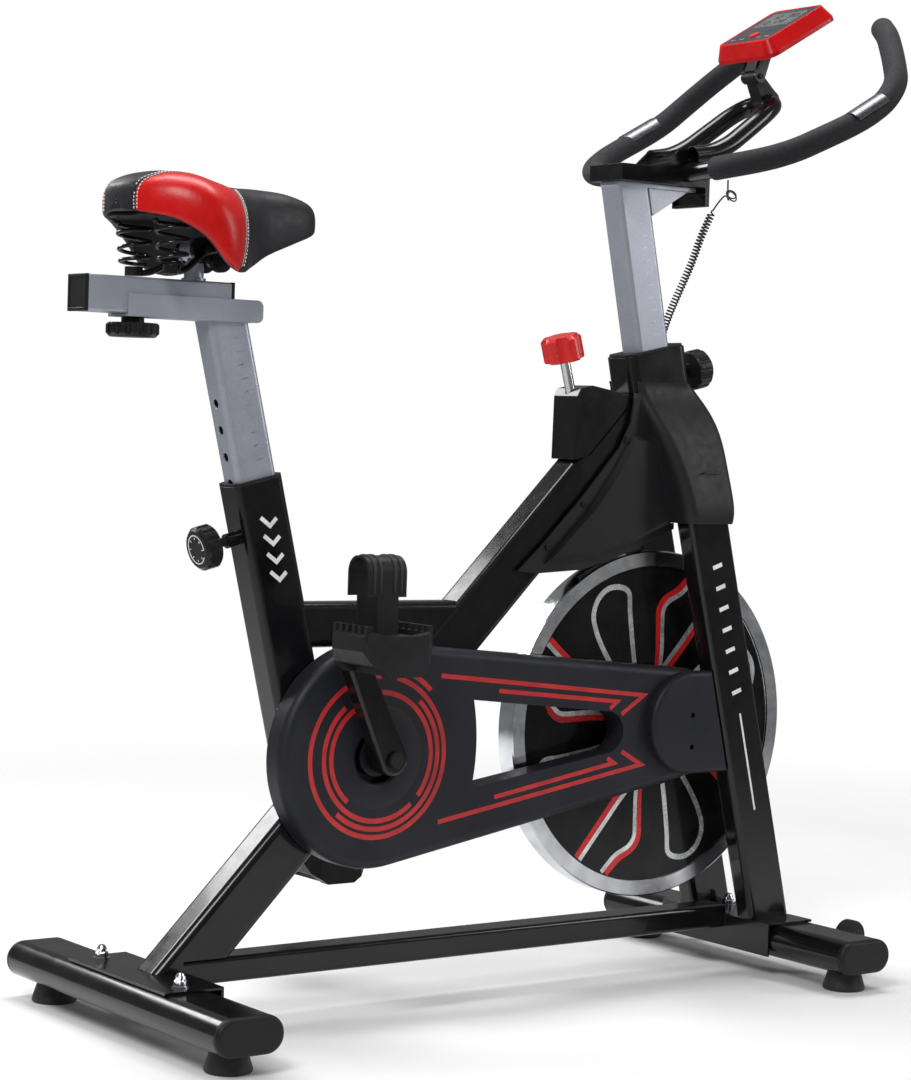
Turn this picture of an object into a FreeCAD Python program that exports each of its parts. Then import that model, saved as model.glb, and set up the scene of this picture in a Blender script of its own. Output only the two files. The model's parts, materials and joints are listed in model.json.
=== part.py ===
"""Indoor spin bike, built as an assembly of separate pieces.

Frame of reference, in millimetres: +X points forward, from the saddle to the
handlebar; +Y points to the rider's left; +Z is up. The drive side, with the
belt cover, is at negative Y. The floor is Z = 0. The dimensions below measure
X from the rear stabiliser; main() then moves the whole model back by ORIGIN_X,
so that the origin lies on the floor under the middle of the bike's length.
"""
import FreeCAD, Part
import math
import os

V = FreeCAD.Vector

# ---------------------------------------------------------------- dimensions
ORIGIN_X = 433.0

# stabilisers: flat-oval tubes lying across the bike, on rubber feet
STAB_DEPTH, STAB_HEIGHT, STAB_WALL = 80.0, 40.0, 2.0
STAB_Z = 43.0
REAR_X, FRONT_X = 0.0, 856.0
REAR_LENGTH, FRONT_LENGTH = 458.0, 444.0
CAP_LENGTH = 8.0
FOOT_Y, FOOT_RADIUS, FOOT_TOP_RADIUS = 186.0, 25.0, 19.0

# frame tubes: rounded rectangular, depth in the plane of the bike by width
TUBE_DEPTH, TUBE_WIDTH, TUBE_WALL, TUBE_CORNER = 60.0, 44.0, 2.0, 9.0
PLATE = 3.0
MAIN_LOW = (-1.4, 0.0)
MAIN_ANGLE = 45.27
SEAT_ANGLE = 14.0
SEAT_POINT = (124.0, 579.3)
HEAD_ANGLE = 12.2
HEAD_POINT = (670.6, 750.7)
HEAD_DEPTH, HEAD_WIDTH = 90.0, 50.0
LEG_ANGLE = 14.06
LEG_POINT = (844.9, 65.3)
LEG_DEPTH, LEG_WIDTH, LEG_Y = 60.0, 30.0, 53.0

# sliding posts
POST_DEPTH, POST_WIDTH, POST_WALL, POST_CORNER = 50.0, 34.0, 2.0, 7.0
SLIDE_GAP = 0.3
HOLE_PITCH, HOLE_RADIUS, PIN_RADIUS = 29.4, 5.05, 5.0

# drive
BB = (262.0, 290.0)
HUB = (686.0, 305.0)
FLYWHEEL_RADIUS, RIM_INNER_RADIUS, RIM_HALF = 208.0, 190.0, 14.0
BIG_PULLEY_RADIUS, SMALL_PULLEY_RADIUS = 100.0, 24.0
BELT_Y, BELT_WIDTH, BELT_THICKNESS = -37.0, 12.0, 2.0
CRANK_LENGTH, CRANK_ANGLE = 150.0, 25.0
CRANK_INNER_Y, CRANK_OUTER_Y = 70.0, 88.0
PEDAL_INNER_Y, PEDAL_OUTER_Y = 103.0, 193.0
COVER_REAR_RADIUS, COVER_FRONT_RADIUS = 125.0, 66.0
COVER_FRONT = (700.0, 309.0)
COVER_INNER_Y, COVER_OUTER_Y, COVER_WALL = -24.0, -55.0, 3.0

# seat
RAIL_Z = 761.0
SLIDER_SIZE = 38.0
SLIDER_X = (-94.0, 83.0)
SLEEVE_X = (-45.0, 118.0)
SADDLE_PIVOT = (44.0, 832.0)
BOUNCE_PIVOT = (150.0, 851.0)

# brake
BRAKE_TOP = (543.5, 750.0)
BRAKE_ANGLE = 16.0
BRAKE_TRAVEL = 6.0
ROD_END = -241.0

# handlebar
BAR_RADIUS, FOAM_RADIUS, LOOP_RADIUS = 11.0, 14.0, 11.0
CONSOLE_ANGLE = 30.0
CONSOLE_SIZE = (122.0, 104.0, 22.0)
CONSOLE_LIP = 5.0
CONSOLE_DRAFT = 15.0
CONSOLE_CENTRE = (857.0, 1148.0)
CONSOLE_PIVOT = (826.0, 1092.0)

PARTS = {}


# ------------------------------------------------------------------- helpers
def along(point, angle, distance):
    """Point at a distance up a line that leans back from the vertical by angle."""
    a = math.radians(angle)
    return (point[0] - math.sin(a) * distance, point[1] + math.cos(a) * distance)


def fuse(shapes):
    return shapes[0].multiFuse(shapes[1:]).removeSplitter()


def biggest(shape):
    return max(shape.Solids, key=lambda solid: solid.Volume)


def cyl(start, end, radius):
    start, end = V(*start), V(*end)
    return Part.makeCylinder(radius, (end - start).Length, start, end - start)


def cyl_y(point, y0, y1, radius):
    return cyl((point[0], y0, point[1]), (point[0], y1, point[1]), radius)


def ring_y(point, y0, y1, outer, inner):
    return cyl_y(point, y0, y1, outer).cut(cyl_y(point, y0 - 1, y1 + 1, inner))


def box(x, y, z):
    return Part.makeBox(x[1] - x[0], y[1] - y[0], z[1] - z[0], V(x[0], y[0], z[0]))


def prism(points, y0, y1):
    """Polygon in the XZ plane, stretched from y0 to y1."""
    face = Part.Face(Part.makePolygon([V(x, y0, z) for x, z in points + points[:1]]))
    return face.extrude(V(0, y1 - y0, 0))


def mirror_y(shape):
    return shape.mirror(V(0, 0, 0), V(0, 1, 0))


def both_sides(shape):
    return [shape, mirror_y(shape)]


def rounded_rect(half_a, half_b, corner, place):
    """Closed wire, with place(a, b) turning plane coordinates into a vector."""
    edges = []
    c = corner * (1 - math.sqrt(0.5))
    turns = [(1, 1), (-1, 1), (-1, -1), (1, -1)]
    for i, (sa, sb) in enumerate(turns):
        on_b = (sa * half_a, sb * (half_b - corner))
        on_a = (sa * (half_a - corner), sb * half_b)
        mid = (sa * (half_a - c), sb * (half_b - c))
        first, last = (on_b, on_a) if sa * sb > 0 else (on_a, on_b)
        na, nb = turns[(i + 1) % 4]
        following = (na * half_a, nb * (half_b - corner)) if na * nb > 0 else (
            na * (half_a - corner), nb * half_b)
        edges.append(Part.Arc(place(*first), place(*mid), place(*last)).toShape())
        edges.append(Part.LineSegment(place(*last), place(*following)).toShape())
    return Part.Wire(edges)


def bar_between(low, high, depth, width, corner, wall=0.0, y=0.0):
    """Rounded rectangular bar or tube between two points of the XZ plane."""
    a, b = V(low[0], y, low[1]), V(high[0], y, high[1])
    axis = (b - a).normalize()
    side = V(0, 1, 0).cross(axis)

    def section(shrink):
        return rounded_rect(depth / 2 - shrink, width / 2 - shrink, max(corner - shrink, 1.0),
                            lambda p, q: a + side * p + V(0, q, 0))

    face = Part.Face(section(0.0))
    if wall:
        face = face.cut(Part.Face(section(wall))).Faces[0]
    return face.extrude(b - a)


def path(points, share=0.45):
    """Straight runs joined by tangent arcs, and the radii of those arcs."""
    pts = [V(*p) for p in points]
    edges, radii, last = [], [], pts[0]
    for before, at, after in zip(pts, pts[1:], pts[2:]):
        u, w = (before - at), (after - at)
        run = share * min(u.Length, w.Length)
        u.normalize()
        w.normalize()
        half = u.getAngle(w) / 2
        radius = run * math.tan(half)
        start, end = at + u * run, at + w * run
        middle = (u + w).normalize()
        mid = at + middle * (radius / math.sin(half) - radius)
        if (start - last).Length > 1e-6:
            edges.append(Part.LineSegment(last, start).toShape())
        edges.append(Part.Arc(start, mid, end).toShape())
        radii.append(radius)
        last = end
    edges.append(Part.LineSegment(last, pts[-1]).toShape())
    return Part.Wire(edges), radii


def pipe(points, radius, wall=0.0, share=0.45):
    wire, _ = path(points, share)
    start = V(*points[0])
    direction = V(*points[1]) - start

    def sweep(r):
        profile = Part.Wire([Part.makeCircle(r, start, direction)])
        return wire.makePipeShell([profile], True, True)

    solid = sweep(radius)
    return solid.cut(sweep(radius - wall)) if wall else solid


def lathe(profile, centre, axis, zero):
    """Turn (radius, height) points round an axis; zero is the radial direction."""
    centre, axis, zero = V(*centre), V(*axis).normalize(), V(*zero).normalize()
    points = [centre + zero * r + axis * h for r, h in profile]
    face = Part.Face(Part.makePolygon(points + points[:1]))
    return face.revolve(centre, axis, 360)


def fluted_knob(centre, axis, zero, radius, height, flutes, flute_radius):
    """Hand knob with scalloped sides, its back face at centre."""
    body = lathe([(0, 0), (radius - 2, 0), (radius, 2), (radius, height - 4),
                  (radius - 4, height), (0, height)], centre, axis, zero)
    c, n = V(*centre), V(*axis).normalize()
    spoke = V(*zero).normalize()
    cuts = []
    for i in range(flutes):
        turn = FreeCAD.Rotation(n, 360.0 * i / flutes)
        at = c + turn.multVec(spoke) * (radius + flute_radius * 0.45)
        cuts.append(Part.makeCylinder(flute_radius, height + 2, at - n, n))
    return body.cut(Part.makeCompound(cuts))


def coil_spring(base, low_radius, high_radius, height, turns, wire_radius):
    """Round-wire compression spring standing on base, wider at the top if conical."""
    steps = round(turns * 10)
    points = []
    for i in range(steps + 1):
        share, turn = i / steps, 2 * math.pi * turns * i / steps
        radius = low_radius + (high_radius - low_radius) * share
        points.append((base[0] + radius * math.cos(turn), base[1] + radius * math.sin(turn),
                       base[2] + height * share))
    return smooth_pipe(points, wire_radius)


def smooth_pipe(points, radius, wall=0.0):
    """Bent tube that follows one smooth curve through its points."""
    curve = Part.BSplineCurve()
    curve.interpolate([V(*p) for p in points])
    spine = Part.Wire([curve.toShape()])
    start = V(*points[0])
    direction = curve.tangent(curve.FirstParameter)[0]

    def sweep(r):
        return spine.makePipeShell([Part.Wire([Part.makeCircle(r, start, direction)])], True, True)

    solid = sweep(radius)
    return solid.cut(sweep(radius - wall)) if wall else solid


def add(name, *solids):
    flat = [s for shape in solids for s in shape.Solids]
    PARTS[name] = flat[0] if len(flat) == 1 else Part.makeCompound(flat)


# --------------------------------------------------------------- lower frame
STAB_TOP = STAB_Z + STAB_HEIGHT / 2
PLATE_TOP = STAB_TOP + PLATE
BEAM_Z = (49.0, 77.0)
FLANGE_X = (REAR_X + STAB_DEPTH / 2 + PLATE, FRONT_X - STAB_DEPTH / 2 - PLATE)
REAR_BOLTS = [(2.0, -84.0), (2.0, 84.0)]
FRONT_BOLTS = [(FRONT_X, -22.0), (FRONT_X, 22.0)]
MAIN_HALF = TUBE_DEPTH / 2
MAIN_DIR = (math.cos(math.radians(MAIN_ANGLE)), math.sin(math.radians(MAIN_ANGLE)))
MAIN_TOP_AT_ZERO = 59.5


def main_axis(distance):
    """Point on the main tube's axis, measured from where it meets the floor line."""
    start = (MAIN_HALF * MAIN_DIR[1], MAIN_TOP_AT_ZERO - MAIN_HALF * MAIN_DIR[0])
    return (start[0] + MAIN_DIR[0] * distance, start[1] + MAIN_DIR[1] * distance)


def stabiliser(x, length):
    half = length / 2 - CAP_LENGTH

    def at(y):
        return lambda a, b: V(x + a, y, STAB_Z + b)

    def face(shrink, y):
        return Part.Face(rounded_rect(STAB_DEPTH / 2 - shrink, STAB_HEIGHT / 2 - shrink,
                                      STAB_HEIGHT / 2 - shrink - 0.01, at(y)))

    tube = face(0, -half).cut(face(STAB_WALL, -half)).Faces[0].extrude(V(0, 2 * half, 0))
    cap = face(0, half).extrude(V(0, CAP_LENGTH, 0))
    rim = [e for e in cap.Edges if all(abs(v.Y - half - CAP_LENGTH) < 0.01 for v in e.Vertexes)]
    cap = cap.makeFillet(5.0, rim)
    plug = face(STAB_WALL, half - 14).extrude(V(0, 14, 0))
    return tube, cap.fuse(plug)


def make_stabilisers():
    caps = []
    bolts = REAR_BOLTS + FRONT_BOLTS
    for name, x, length in (("rear_stabiliser", REAR_X, REAR_LENGTH),
                            ("front_stabiliser", FRONT_X, FRONT_LENGTH)):
        tube, cap = stabiliser(x, length)
        for bx, by in bolts:
            tube = tube.cut(cyl((bx, by, 20), (bx, by, 80), 4.5))
        for y in (-FOOT_Y, FOOT_Y):
            tube = tube.cut(cyl((x, y, 20), (x, y, 35), 4.0))
        add(name, tube)
        caps += both_sides(cap)
    add("stabiliser_caps", *caps)


def make_feet():
    feet = []
    bottom = STAB_Z - STAB_HEIGHT / 2
    for x in (REAR_X, FRONT_X):
        for y in (-FOOT_Y, FOOT_Y):
            cone = lathe([(0, 0), (FOOT_RADIUS - 1.5, 0), (FOOT_RADIUS, 1.5), (FOOT_RADIUS, 4),
                          (FOOT_TOP_RADIUS, bottom), (4.0, bottom), (4.0, bottom + 9),
                          (0, bottom + 9)], (x, y, 0), (0, 0, 1), (1, 0, 0))
            feet.append(cone)
    add("rubber_feet", *feet)


def bracket(x_outer, x_flange, half):
    """Top plate welded over a stabiliser, its flange turned down on the inner side."""
    lo, hi = sorted((x_outer, x_flange))
    sign = 1 if x_flange > x_outer else -1
    plate = box((lo, hi), (-half, half), (STAB_TOP, PLATE_TOP))
    flange_x = sorted((x_flange, x_flange - sign * PLATE))
    flange = box(flange_x, (-half, half), (STAB_Z - STAB_HEIGHT / 2 + 3, PLATE_TOP))
    solid = fuse([plate, flange])
    for ex, ey in REAR_BOLTS + FRONT_BOLTS:
        solid = solid.cut(cyl((ex, ey, STAB_TOP - 1), (ex, ey, PLATE_TOP + 1), 4.5))
    return solid


def make_base():
    beam = bar_between((FLANGE_X[0], sum(BEAM_Z) / 2), (FLANGE_X[1], sum(BEAM_Z) / 2),
                       BEAM_Z[1] - BEAM_Z[0], 40.0, 5.0, TUBE_WALL)
    rear = bracket(-28.0, FLANGE_X[0], 104.0)
    front = bracket(884.0, FLANGE_X[1], 98.0)
    add("base_frame", beam, rear, front)


def make_main_tube():
    tube = bar_between(main_axis(-60), main_axis(885), TUBE_DEPTH, TUBE_WIDTH,
                       TUBE_CORNER, TUBE_WALL)
    tube = tube.cut(box((-200, FLANGE_X[0]), (-60, 60), (-80, PLATE_TOP)))
    tube = tube.cut(box((FLANGE_X[0] - 1, 300), (-60, 60), (-80, BEAM_Z[1])))
    tube = tube.cut(cyl_y(BB, -60, 60, 21.0))
    head = bar_between(along(HEAD_POINT, HEAD_ANGLE, -400), along(HEAD_POINT, HEAD_ANGLE, 100),
                       HEAD_DEPTH, 80.0, 2.0)
    front_of_head = head.copy()
    front_of_head.translate(V(80, 0, 0))
    tube = tube.cut(head).cut(front_of_head)
    rod = brake_point(-300), brake_point(40)
    tube = tube.cut(cyl((rod[0][0], 0, rod[0][1]), (rod[1][0], 0, rod[1][1]), 7.0))
    add("main_tube", tube.Solids[0])


def main_solid():
    return bar_between(main_axis(-60), main_axis(885), TUBE_DEPTH, TUBE_WIDTH, TUBE_CORNER)


def make_seat_tube():
    tube = bar_between(along(SEAT_POINT, SEAT_ANGLE, -380), along(SEAT_POINT, SEAT_ANGLE, 10),
                       TUBE_DEPTH, TUBE_WIDTH, TUBE_CORNER, TUBE_WALL)
    tube = biggest(tube.cut(main_solid()))
    tube = tube.cut(pin_hole(SEAT_POINT, SEAT_ANGLE, SEAT_PIN, -1, 8.0, 60.0))
    boss = threaded_boss(SEAT_POINT, SEAT_ANGLE, SEAT_PIN, -1, POST_DEPTH / 2 + 0.8,
                         TUBE_DEPTH / 2 + 14)
    add("seat_tube", tube, boss)


def make_brace():
    tube = bar_between((120.0, 433.0), (480.0, 431.0), 50.0, 36.0, 9.0, TUBE_WALL)
    seat = bar_between(along(SEAT_POINT, SEAT_ANGLE, -380), along(SEAT_POINT, SEAT_ANGLE, 10),
                       TUBE_DEPTH, TUBE_WIDTH, TUBE_CORNER)
    tube = tube.cut(seat).cut(main_solid())
    pieces = [s for s in tube.Solids if 200 < s.CenterOfMass.x < 400]
    add("brace_tube", biggest(Part.makeCompound(pieces)))


# ----------------------------------------------------------------- head, fork
HEAD_TOP, HEAD_BOTTOM, CROWN_BOTTOM = 0.0, -112.0, -186.0
LEG_TOP_Z = 592.0
SEAT_PIN, HEAD_PIN = -46.5, -35.0


def pin_hole(point, angle, distance, side, radius, reach):
    """Cylinder square to a leaning tube: side -1 is its rear face, 1 its front."""
    at = along(point, angle, distance)
    a = math.radians(angle)
    out = (side * math.cos(a), side * math.sin(a))
    end = (at[0] + out[0] * reach, at[1] + out[1] * reach)
    return cyl((at[0], 0, at[1]), (end[0], 0, end[1]), radius)


def head_axis(distance):
    return along(HEAD_POINT, HEAD_ANGLE, distance)


def make_head():
    outer = bar_between(head_axis(HEAD_BOTTOM), head_axis(HEAD_TOP), HEAD_DEPTH, HEAD_WIDTH,
                        12.0, 3.0)
    outer = outer.cut(pin_hole(HEAD_POINT, HEAD_ANGLE, HEAD_PIN, 1, 8.0, 80.0))
    boss = threaded_boss(HEAD_POINT, HEAD_ANGLE, HEAD_PIN, 1, POST_DEPTH / 2 + 0.8,
                         HEAD_DEPTH / 2 + 6)
    add("head_tube", outer, boss)


def make_crown():
    """Welded box that carries the two fork legs below the head tube."""
    slab = bar_between(head_axis(CROWN_BOTTOM), head_axis(HEAD_BOTTOM), HEAD_DEPTH, HEAD_WIDTH, 4.0)
    hole = bar_between(head_axis(CROWN_BOTTOM - 20), head_axis(HEAD_BOTTOM + 10),
                       HEAD_DEPTH - 14, HEAD_WIDTH - 12, 6.0)
    crown = fuse([slab, cross_piece(0.0)]).cut(hole).cut(main_solid())
    add("fork_crown", biggest(crown))


def cross_piece(clearance):
    """Block that joins the tops of the two fork legs."""
    return bar_between(along(LEG_POINT, LEG_ANGLE, 514), along(LEG_POINT, LEG_ANGLE, 541),
                       LEG_DEPTH + clearance, 2 * LEG_Y - LEG_WIDTH + clearance, 4.0)


def dropout(y0, y1):
    """Plate from a fork leg back to the flywheel axle."""
    plate = prism([(HUB[0], HUB[1] - 26), (HUB[0] + 73, HUB[1] - 44), (HUB[0] + 62, HUB[1] + 42),
                   (HUB[0], HUB[1] + 26)], y0, y1)
    plate = plate.fuse(cyl_y(HUB, y0, y1, 26.0)).removeSplitter()
    return plate.cut(cyl_y(HUB, y0 - 1, y1 + 1, 8.0))


def make_fork():
    leg = bar_between(along(LEG_POINT, LEG_ANGLE, -15), along(LEG_POINT, LEG_ANGLE, 598),
                      LEG_DEPTH, LEG_WIDTH, 7.0, TUBE_WALL, LEG_Y)
    leg = leg.cut(box((600, 1000), (0, 100), (-20, PLATE_TOP)))
    leg = leg.cut(box((600, 1000), (0, 100), (LEG_TOP_Z, 700)))
    outer = bar_between(along(LEG_POINT, LEG_ANGLE, -5), along(LEG_POINT, LEG_ANGLE, 598),
                        LEG_DEPTH, LEG_WIDTH, 7.0, 0.0, LEG_Y)
    drop = dropout(LEG_Y - 3, LEG_Y + 3).cut(outer)
    drop = biggest(drop)
    add("fork_legs", *both_sides(leg), *both_sides(drop))


# -------------------------------------------------------------------- bottom
def make_bottom_bracket():
    shell = ring_y(BB, -24.0, 34.0, 20.9, 17.0)
    add("bb_shell", shell)
    cups = [ring_y(BB, -24.0, -13.0, 16.95, 8.54), ring_y(BB, 23.0, 34.0, 16.95, 8.54)]
    add("bb_bearings", *cups)


def make_bb_axle():
    axle = cyl_y(BB, -CRANK_OUTER_Y + 4, CRANK_OUTER_Y - 4, 8.5)
    bolts = [cyl_y(BB, -CRANK_OUTER_Y - 5, -CRANK_OUTER_Y + 4, 9.0),
             cyl_y(BB, CRANK_OUTER_Y - 4, CRANK_OUTER_Y + 5, 9.0)]
    add("bb_axle", axle, *bolts)


def make_big_pulley():
    y0, y1 = BELT_Y - 7.5, BELT_Y + 7.5
    rim = BIG_PULLEY_RADIUS - BELT_THICKNESS / 2 - 0.05
    profile = [(8.5, y0 - 8), (22, y0 - 8), (22, BELT_Y - 2), (rim - 8, BELT_Y - 2),
               (rim - 8, y0), (rim + 3, y0), (rim + 3, y0 + 1), (rim, y0 + 1), (rim, y1 - 1),
               (rim + 3, y1 - 1), (rim + 3, y1), (rim - 8, y1), (rim - 8, BELT_Y + 2),
               (22, BELT_Y + 2), (22, y1 + 3), (8.5, y1 + 3)]
    wheel = lathe(profile, (BB[0], 0, BB[1]), (0, 1, 0), (1, 0, 0))
    holes = []
    for i in range(6):
        a = math.radians(60 * i + 30)
        at = (BB[0] + 58 * math.cos(a), BB[1] + 58 * math.sin(a))
        holes.append(cyl_y(at, y0 - 1, y1 + 1, 17.0))
    add("big_pulley", wheel.cut(Part.makeCompound(holes)))


def make_small_pulley():
    y0, y1 = BELT_Y - 7.5, BELT_Y + 7.5
    rim = SMALL_PULLEY_RADIUS - BELT_THICKNESS / 2 - 0.05
    profile = [(10.2, y0), (rim + 3, y0), (rim + 3, y0 + 1), (rim, y0 + 1), (rim, y1 - 1),
               (rim + 3, y1 - 1), (rim + 3, y1), (rim - 2, y1), (rim - 2, -20.0), (10.2, -20.0)]
    add("small_pulley", lathe(profile, (HUB[0], 0, HUB[1]), (0, 1, 0), (1, 0, 0)))


def make_belt():
    """Flat loop of poly-V belt round the two pulleys."""
    def loop(grow):
        big, small = BIG_PULLEY_RADIUS + grow, SMALL_PULLEY_RADIUS + grow
        return hull_face(BB, big, HUB, small, BELT_Y - BELT_WIDTH / 2)

    half = BELT_THICKNESS / 2
    face = loop(half).cut(loop(-half)).Faces[0]
    add("drive_belt", face.extrude(V(0, BELT_WIDTH, 0)))


def hull_face(a, ra, b, rb, y):
    """Face bounded by two circles and their outer tangents."""
    dx, dz = b[0] - a[0], b[1] - a[1]
    distance = math.hypot(dx, dz)
    lean = math.atan2(dz, dx)
    open_angle = math.acos((ra - rb) / distance)

    def on(centre, radius, angle):
        return V(centre[0] + radius * math.cos(angle), y, centre[1] + radius * math.sin(angle))

    up, down = lean + open_angle, lean - open_angle
    edges = [Part.LineSegment(on(a, ra, up), on(b, rb, up)).toShape(),
             Part.Arc(on(b, rb, up), on(b, rb, lean), on(b, rb, down)).toShape(),
             Part.LineSegment(on(b, rb, down), on(a, ra, down)).toShape(),
             Part.Arc(on(a, ra, down), on(a, ra, lean + math.pi), on(a, ra, up)).toShape()]
    return Part.Face(Part.Wire(edges))


def make_flywheel():
    web, skin = 11.0, 2.0
    outline = [(24, -web), (RIM_INNER_RADIUS, -web), (RIM_INNER_RADIUS, -RIM_HALF),
               (FLYWHEEL_RADIUS - 1.5, -RIM_HALF), (FLYWHEEL_RADIUS, -RIM_HALF + 1.5),
               (FLYWHEEL_RADIUS, RIM_HALF - 1.5), (FLYWHEEL_RADIUS - 1.5, RIM_HALF),
               (RIM_INNER_RADIUS, RIM_HALF), (RIM_INNER_RADIUS, web), (24, web), (24, 20),
               (16, 20), (16, -20), (24, -20)]
    wheel = lathe(outline, (HUB[0], 0, HUB[1]), (0, 1, 0), (1, 0, 0))
    hollow = lathe([(30, -web + skin), (RIM_INNER_RADIUS - 1, -web + skin),
                    (RIM_INNER_RADIUS - 1, web - skin), (30, web - skin)],
                   (HUB[0], 0, HUB[1]), (0, 1, 0), (1, 0, 0))
    add("flywheel", wheel.cut(hollow))
    bearings = [ring_y(HUB, -20, -9, 16.0, 8.04), ring_y(HUB, 9, 20, 16.0, 8.04)]
    add("flywheel_bearings", *bearings)


def make_axle():
    shaft = cyl_y(HUB, -64.5, 64.5, 8.0)
    nuts = []
    for lo in (LEG_Y + 3, -LEG_Y - 3 - 8):
        hexagon = [(HUB[0] + 13 * math.cos(math.radians(60 * i)),
                    HUB[1] + 13 * math.sin(math.radians(60 * i))) for i in range(6)]
        nuts.append(prism(hexagon, lo, lo + 8).cut(cyl_y(HUB, -90, 90, 8.0)))
    add("axle", shaft, *nuts)


# -------------------------------------------------------------------- cranks
def crank_tip(side):
    a = math.radians(CRANK_ANGLE)
    return (BB[0] + side * CRANK_LENGTH * math.sin(a), BB[1] - side * CRANK_LENGTH * math.cos(a))


def crank(side):
    """Arm tapering towards the pedal; side -1 is the drive side, pointing up."""
    y0, y1 = sorted((side * CRANK_INNER_Y, side * CRANK_OUTER_Y))
    tip = crank_tip(side)
    arm = hull_face(BB, 18.0, tip, 13.0, y0).extrude(V(0, y1 - y0, 0))
    rim = [e for e in arm.Edges if e.Length > 30 and abs(e.CenterOfMass.y - side * CRANK_OUTER_Y) < 0.5]
    arm = arm.makeFillet(4.0, rim)
    boss = cyl_y(BB, min(side * 58, side * CRANK_INNER_Y), max(side * 58, side * CRANK_INNER_Y), 17.0)
    arm = fuse([arm, boss]).cut(cyl_y(BB, -CRANK_OUTER_Y + 4, CRANK_OUTER_Y - 4, 8.5))
    arm = arm.cut(cyl_y(BB, -CRANK_OUTER_Y - 5, CRANK_OUTER_Y + 5, 9.0).cut(
        cyl_y(BB, -CRANK_OUTER_Y + 4, CRANK_OUTER_Y - 4, 9.0)))
    spindle = [side * CRANK_INNER_Y, side * (PEDAL_OUTER_Y - 12)]
    pin = cyl_y(tip, min(spindle), max(spindle), 7.0)
    return arm.cut(pin), pin


def make_cranks():
    solids = []
    for side in (-1, 1):
        solids += list(crank(side))
    add("cranks", *solids)


def make_pedal(name, side):
    """Resin platform with toothed edges, and the toe strap that arches over it."""
    x, z = crank_tip(side)
    y0, y1 = PEDAL_INNER_Y, PEDAL_OUTER_Y
    mid = (y0 + y1) / 2
    profile = [(-44, 8), (-38, 13), (-16, 9), (16, 9), (38, 13), (44, 8), (44, -8),
               (36, -22), (18, -34), (-18, -34), (-36, -22), (-44, -8)]
    body = prism([(x + a, z + b) for a, b in profile], y0, y1)
    body = body.common(plan_block(x, z, 44.0, y0, y1, 16.0))
    for a in (-34, 14):
        body = body.cut(box((x + a, x + a + 20), (y0 + 14, y1 - 14), (z - 40, z + 40)))
    teeth = []
    for i in range(6):
        ty = y0 + 14 + i * (y1 - y0 - 32) / 5
        for tx in (-42, 34):
            teeth.append(box((x + tx, x + tx + 8), (ty, ty + 5), (z + 2, z + 19)))
    body = fuse([body] + teeth).cut(cyl_y((x, z), y0 - 1, y1 - 11.5, 7.05))
    strap = strap_band(x - 6, z, mid - 4)
    for edge in (mid - 4 - STRAP_HALF - 1.5, mid - 4 + STRAP_HALF + 1.5):
        body = body.cut(box((x - 22, x + 10), (edge - 3, edge + 3), (z + 1, z + 20)))
    if side < 0:
        body, strap = mirror_y(body), mirror_y(strap)
    add(name, body, strap)


def plan_block(x, z, half, y0, y1, chamfer):
    """Tall block with chamfered upright corners, used to trim a pedal."""
    corners = [(x - half + chamfer, y0), (x + half - chamfer, y0), (x + half, y0 + chamfer),
               (x + half, y1 - chamfer), (x + half - chamfer, y1), (x - half + chamfer, y1),
               (x - half, y1 - chamfer), (x - half, y0 + chamfer)]
    points = [V(a, b, z - 60) for a, b in corners]
    return Part.Face(Part.makePolygon(points + points[:1])).extrude(V(0, 0, 120))


STRAP_HALF, STRAP_THICK = 17.0, 3.0


def strap_band(x, z, mid):
    """Rubber band over the foot: wide over the top, narrow down both sides."""
    low, high = z + 8, z + 88

    def arch(grow):
        r = 15.0 + grow
        half, top = STRAP_HALF + grow, high + grow
        d = r * (1 - math.sqrt(0.5))
        points = [(-half, low), (-half, top - r), (-half + r, top), (half - r, top),
                  (half, top - r), (half, low)]
        at = [V(x, mid + a, b) for a, b in points]
        left = V(x, mid - half + d, top - d)
        right = V(x, mid + half - d, top - d)
        edges = [Part.LineSegment(at[0], at[1]), Part.Arc(at[1], left, at[2]),
                 Part.LineSegment(at[2], at[3]), Part.Arc(at[3], right, at[4]),
                 Part.LineSegment(at[4], at[5]), Part.LineSegment(at[5], at[0])]
        return Part.Face(Part.Wire([e.toShape() for e in edges]))

    band = arch(STRAP_THICK).cut(arch(0.0)).Faces[0].extrude(V(48, 0, 0))
    band.translate(V(-24, 0, 0))
    gaps = [box((x - 30, x - 12), (mid - 60, mid + 60), (z - 30, z + 48)),
            box((x + 14, x + 30), (mid - 60, mid + 60), (z - 30, z + 48))]
    return band.cut(Part.makeCompound(gaps))


# --------------------------------------------------------------- drive cover
WINDOW = [(391.0, 348.0), (396.0, 310.0), (391.0, 248.5), (588.0, 279.0), (584.0, 328.0)]
WINDOW_END = (586.0, 303.6)


def window_solid(grow, y0, y1):
    """Tapered window between the belt runs, rounded at its front end."""
    (ax, az), (mx, mz), (bx, bz), (cx, cz), (dx, dz) = WINDOW
    g = grow
    radius = (dz - cz) / 2 + g
    points = [V(ax - g, y0, az + g), V(bx - g, y0, bz - g), V(cx, y0, WINDOW_END[1] - radius),
              V(dx, y0, WINDOW_END[1] + radius)]
    edges = [Part.Arc(points[0], V(mx - g, y0, mz), points[1]).toShape(),
             Part.LineSegment(points[1], points[2]).toShape(),
             Part.Arc(points[2], V(WINDOW_END[0] + radius, y0, WINDOW_END[1]), points[3]).toShape(),
             Part.LineSegment(points[3], points[0]).toShape()]
    return Part.Face(Part.Wire(edges)).extrude(V(0, y1 - y0, 0))


def cover_body(shrink, y_in, y_out):
    face = hull_face(BB, COVER_REAR_RADIUS - shrink, COVER_FRONT, COVER_FRONT_RADIUS - shrink, y_in)
    return face.extrude(V(0, y_out - y_in, 0))


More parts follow.
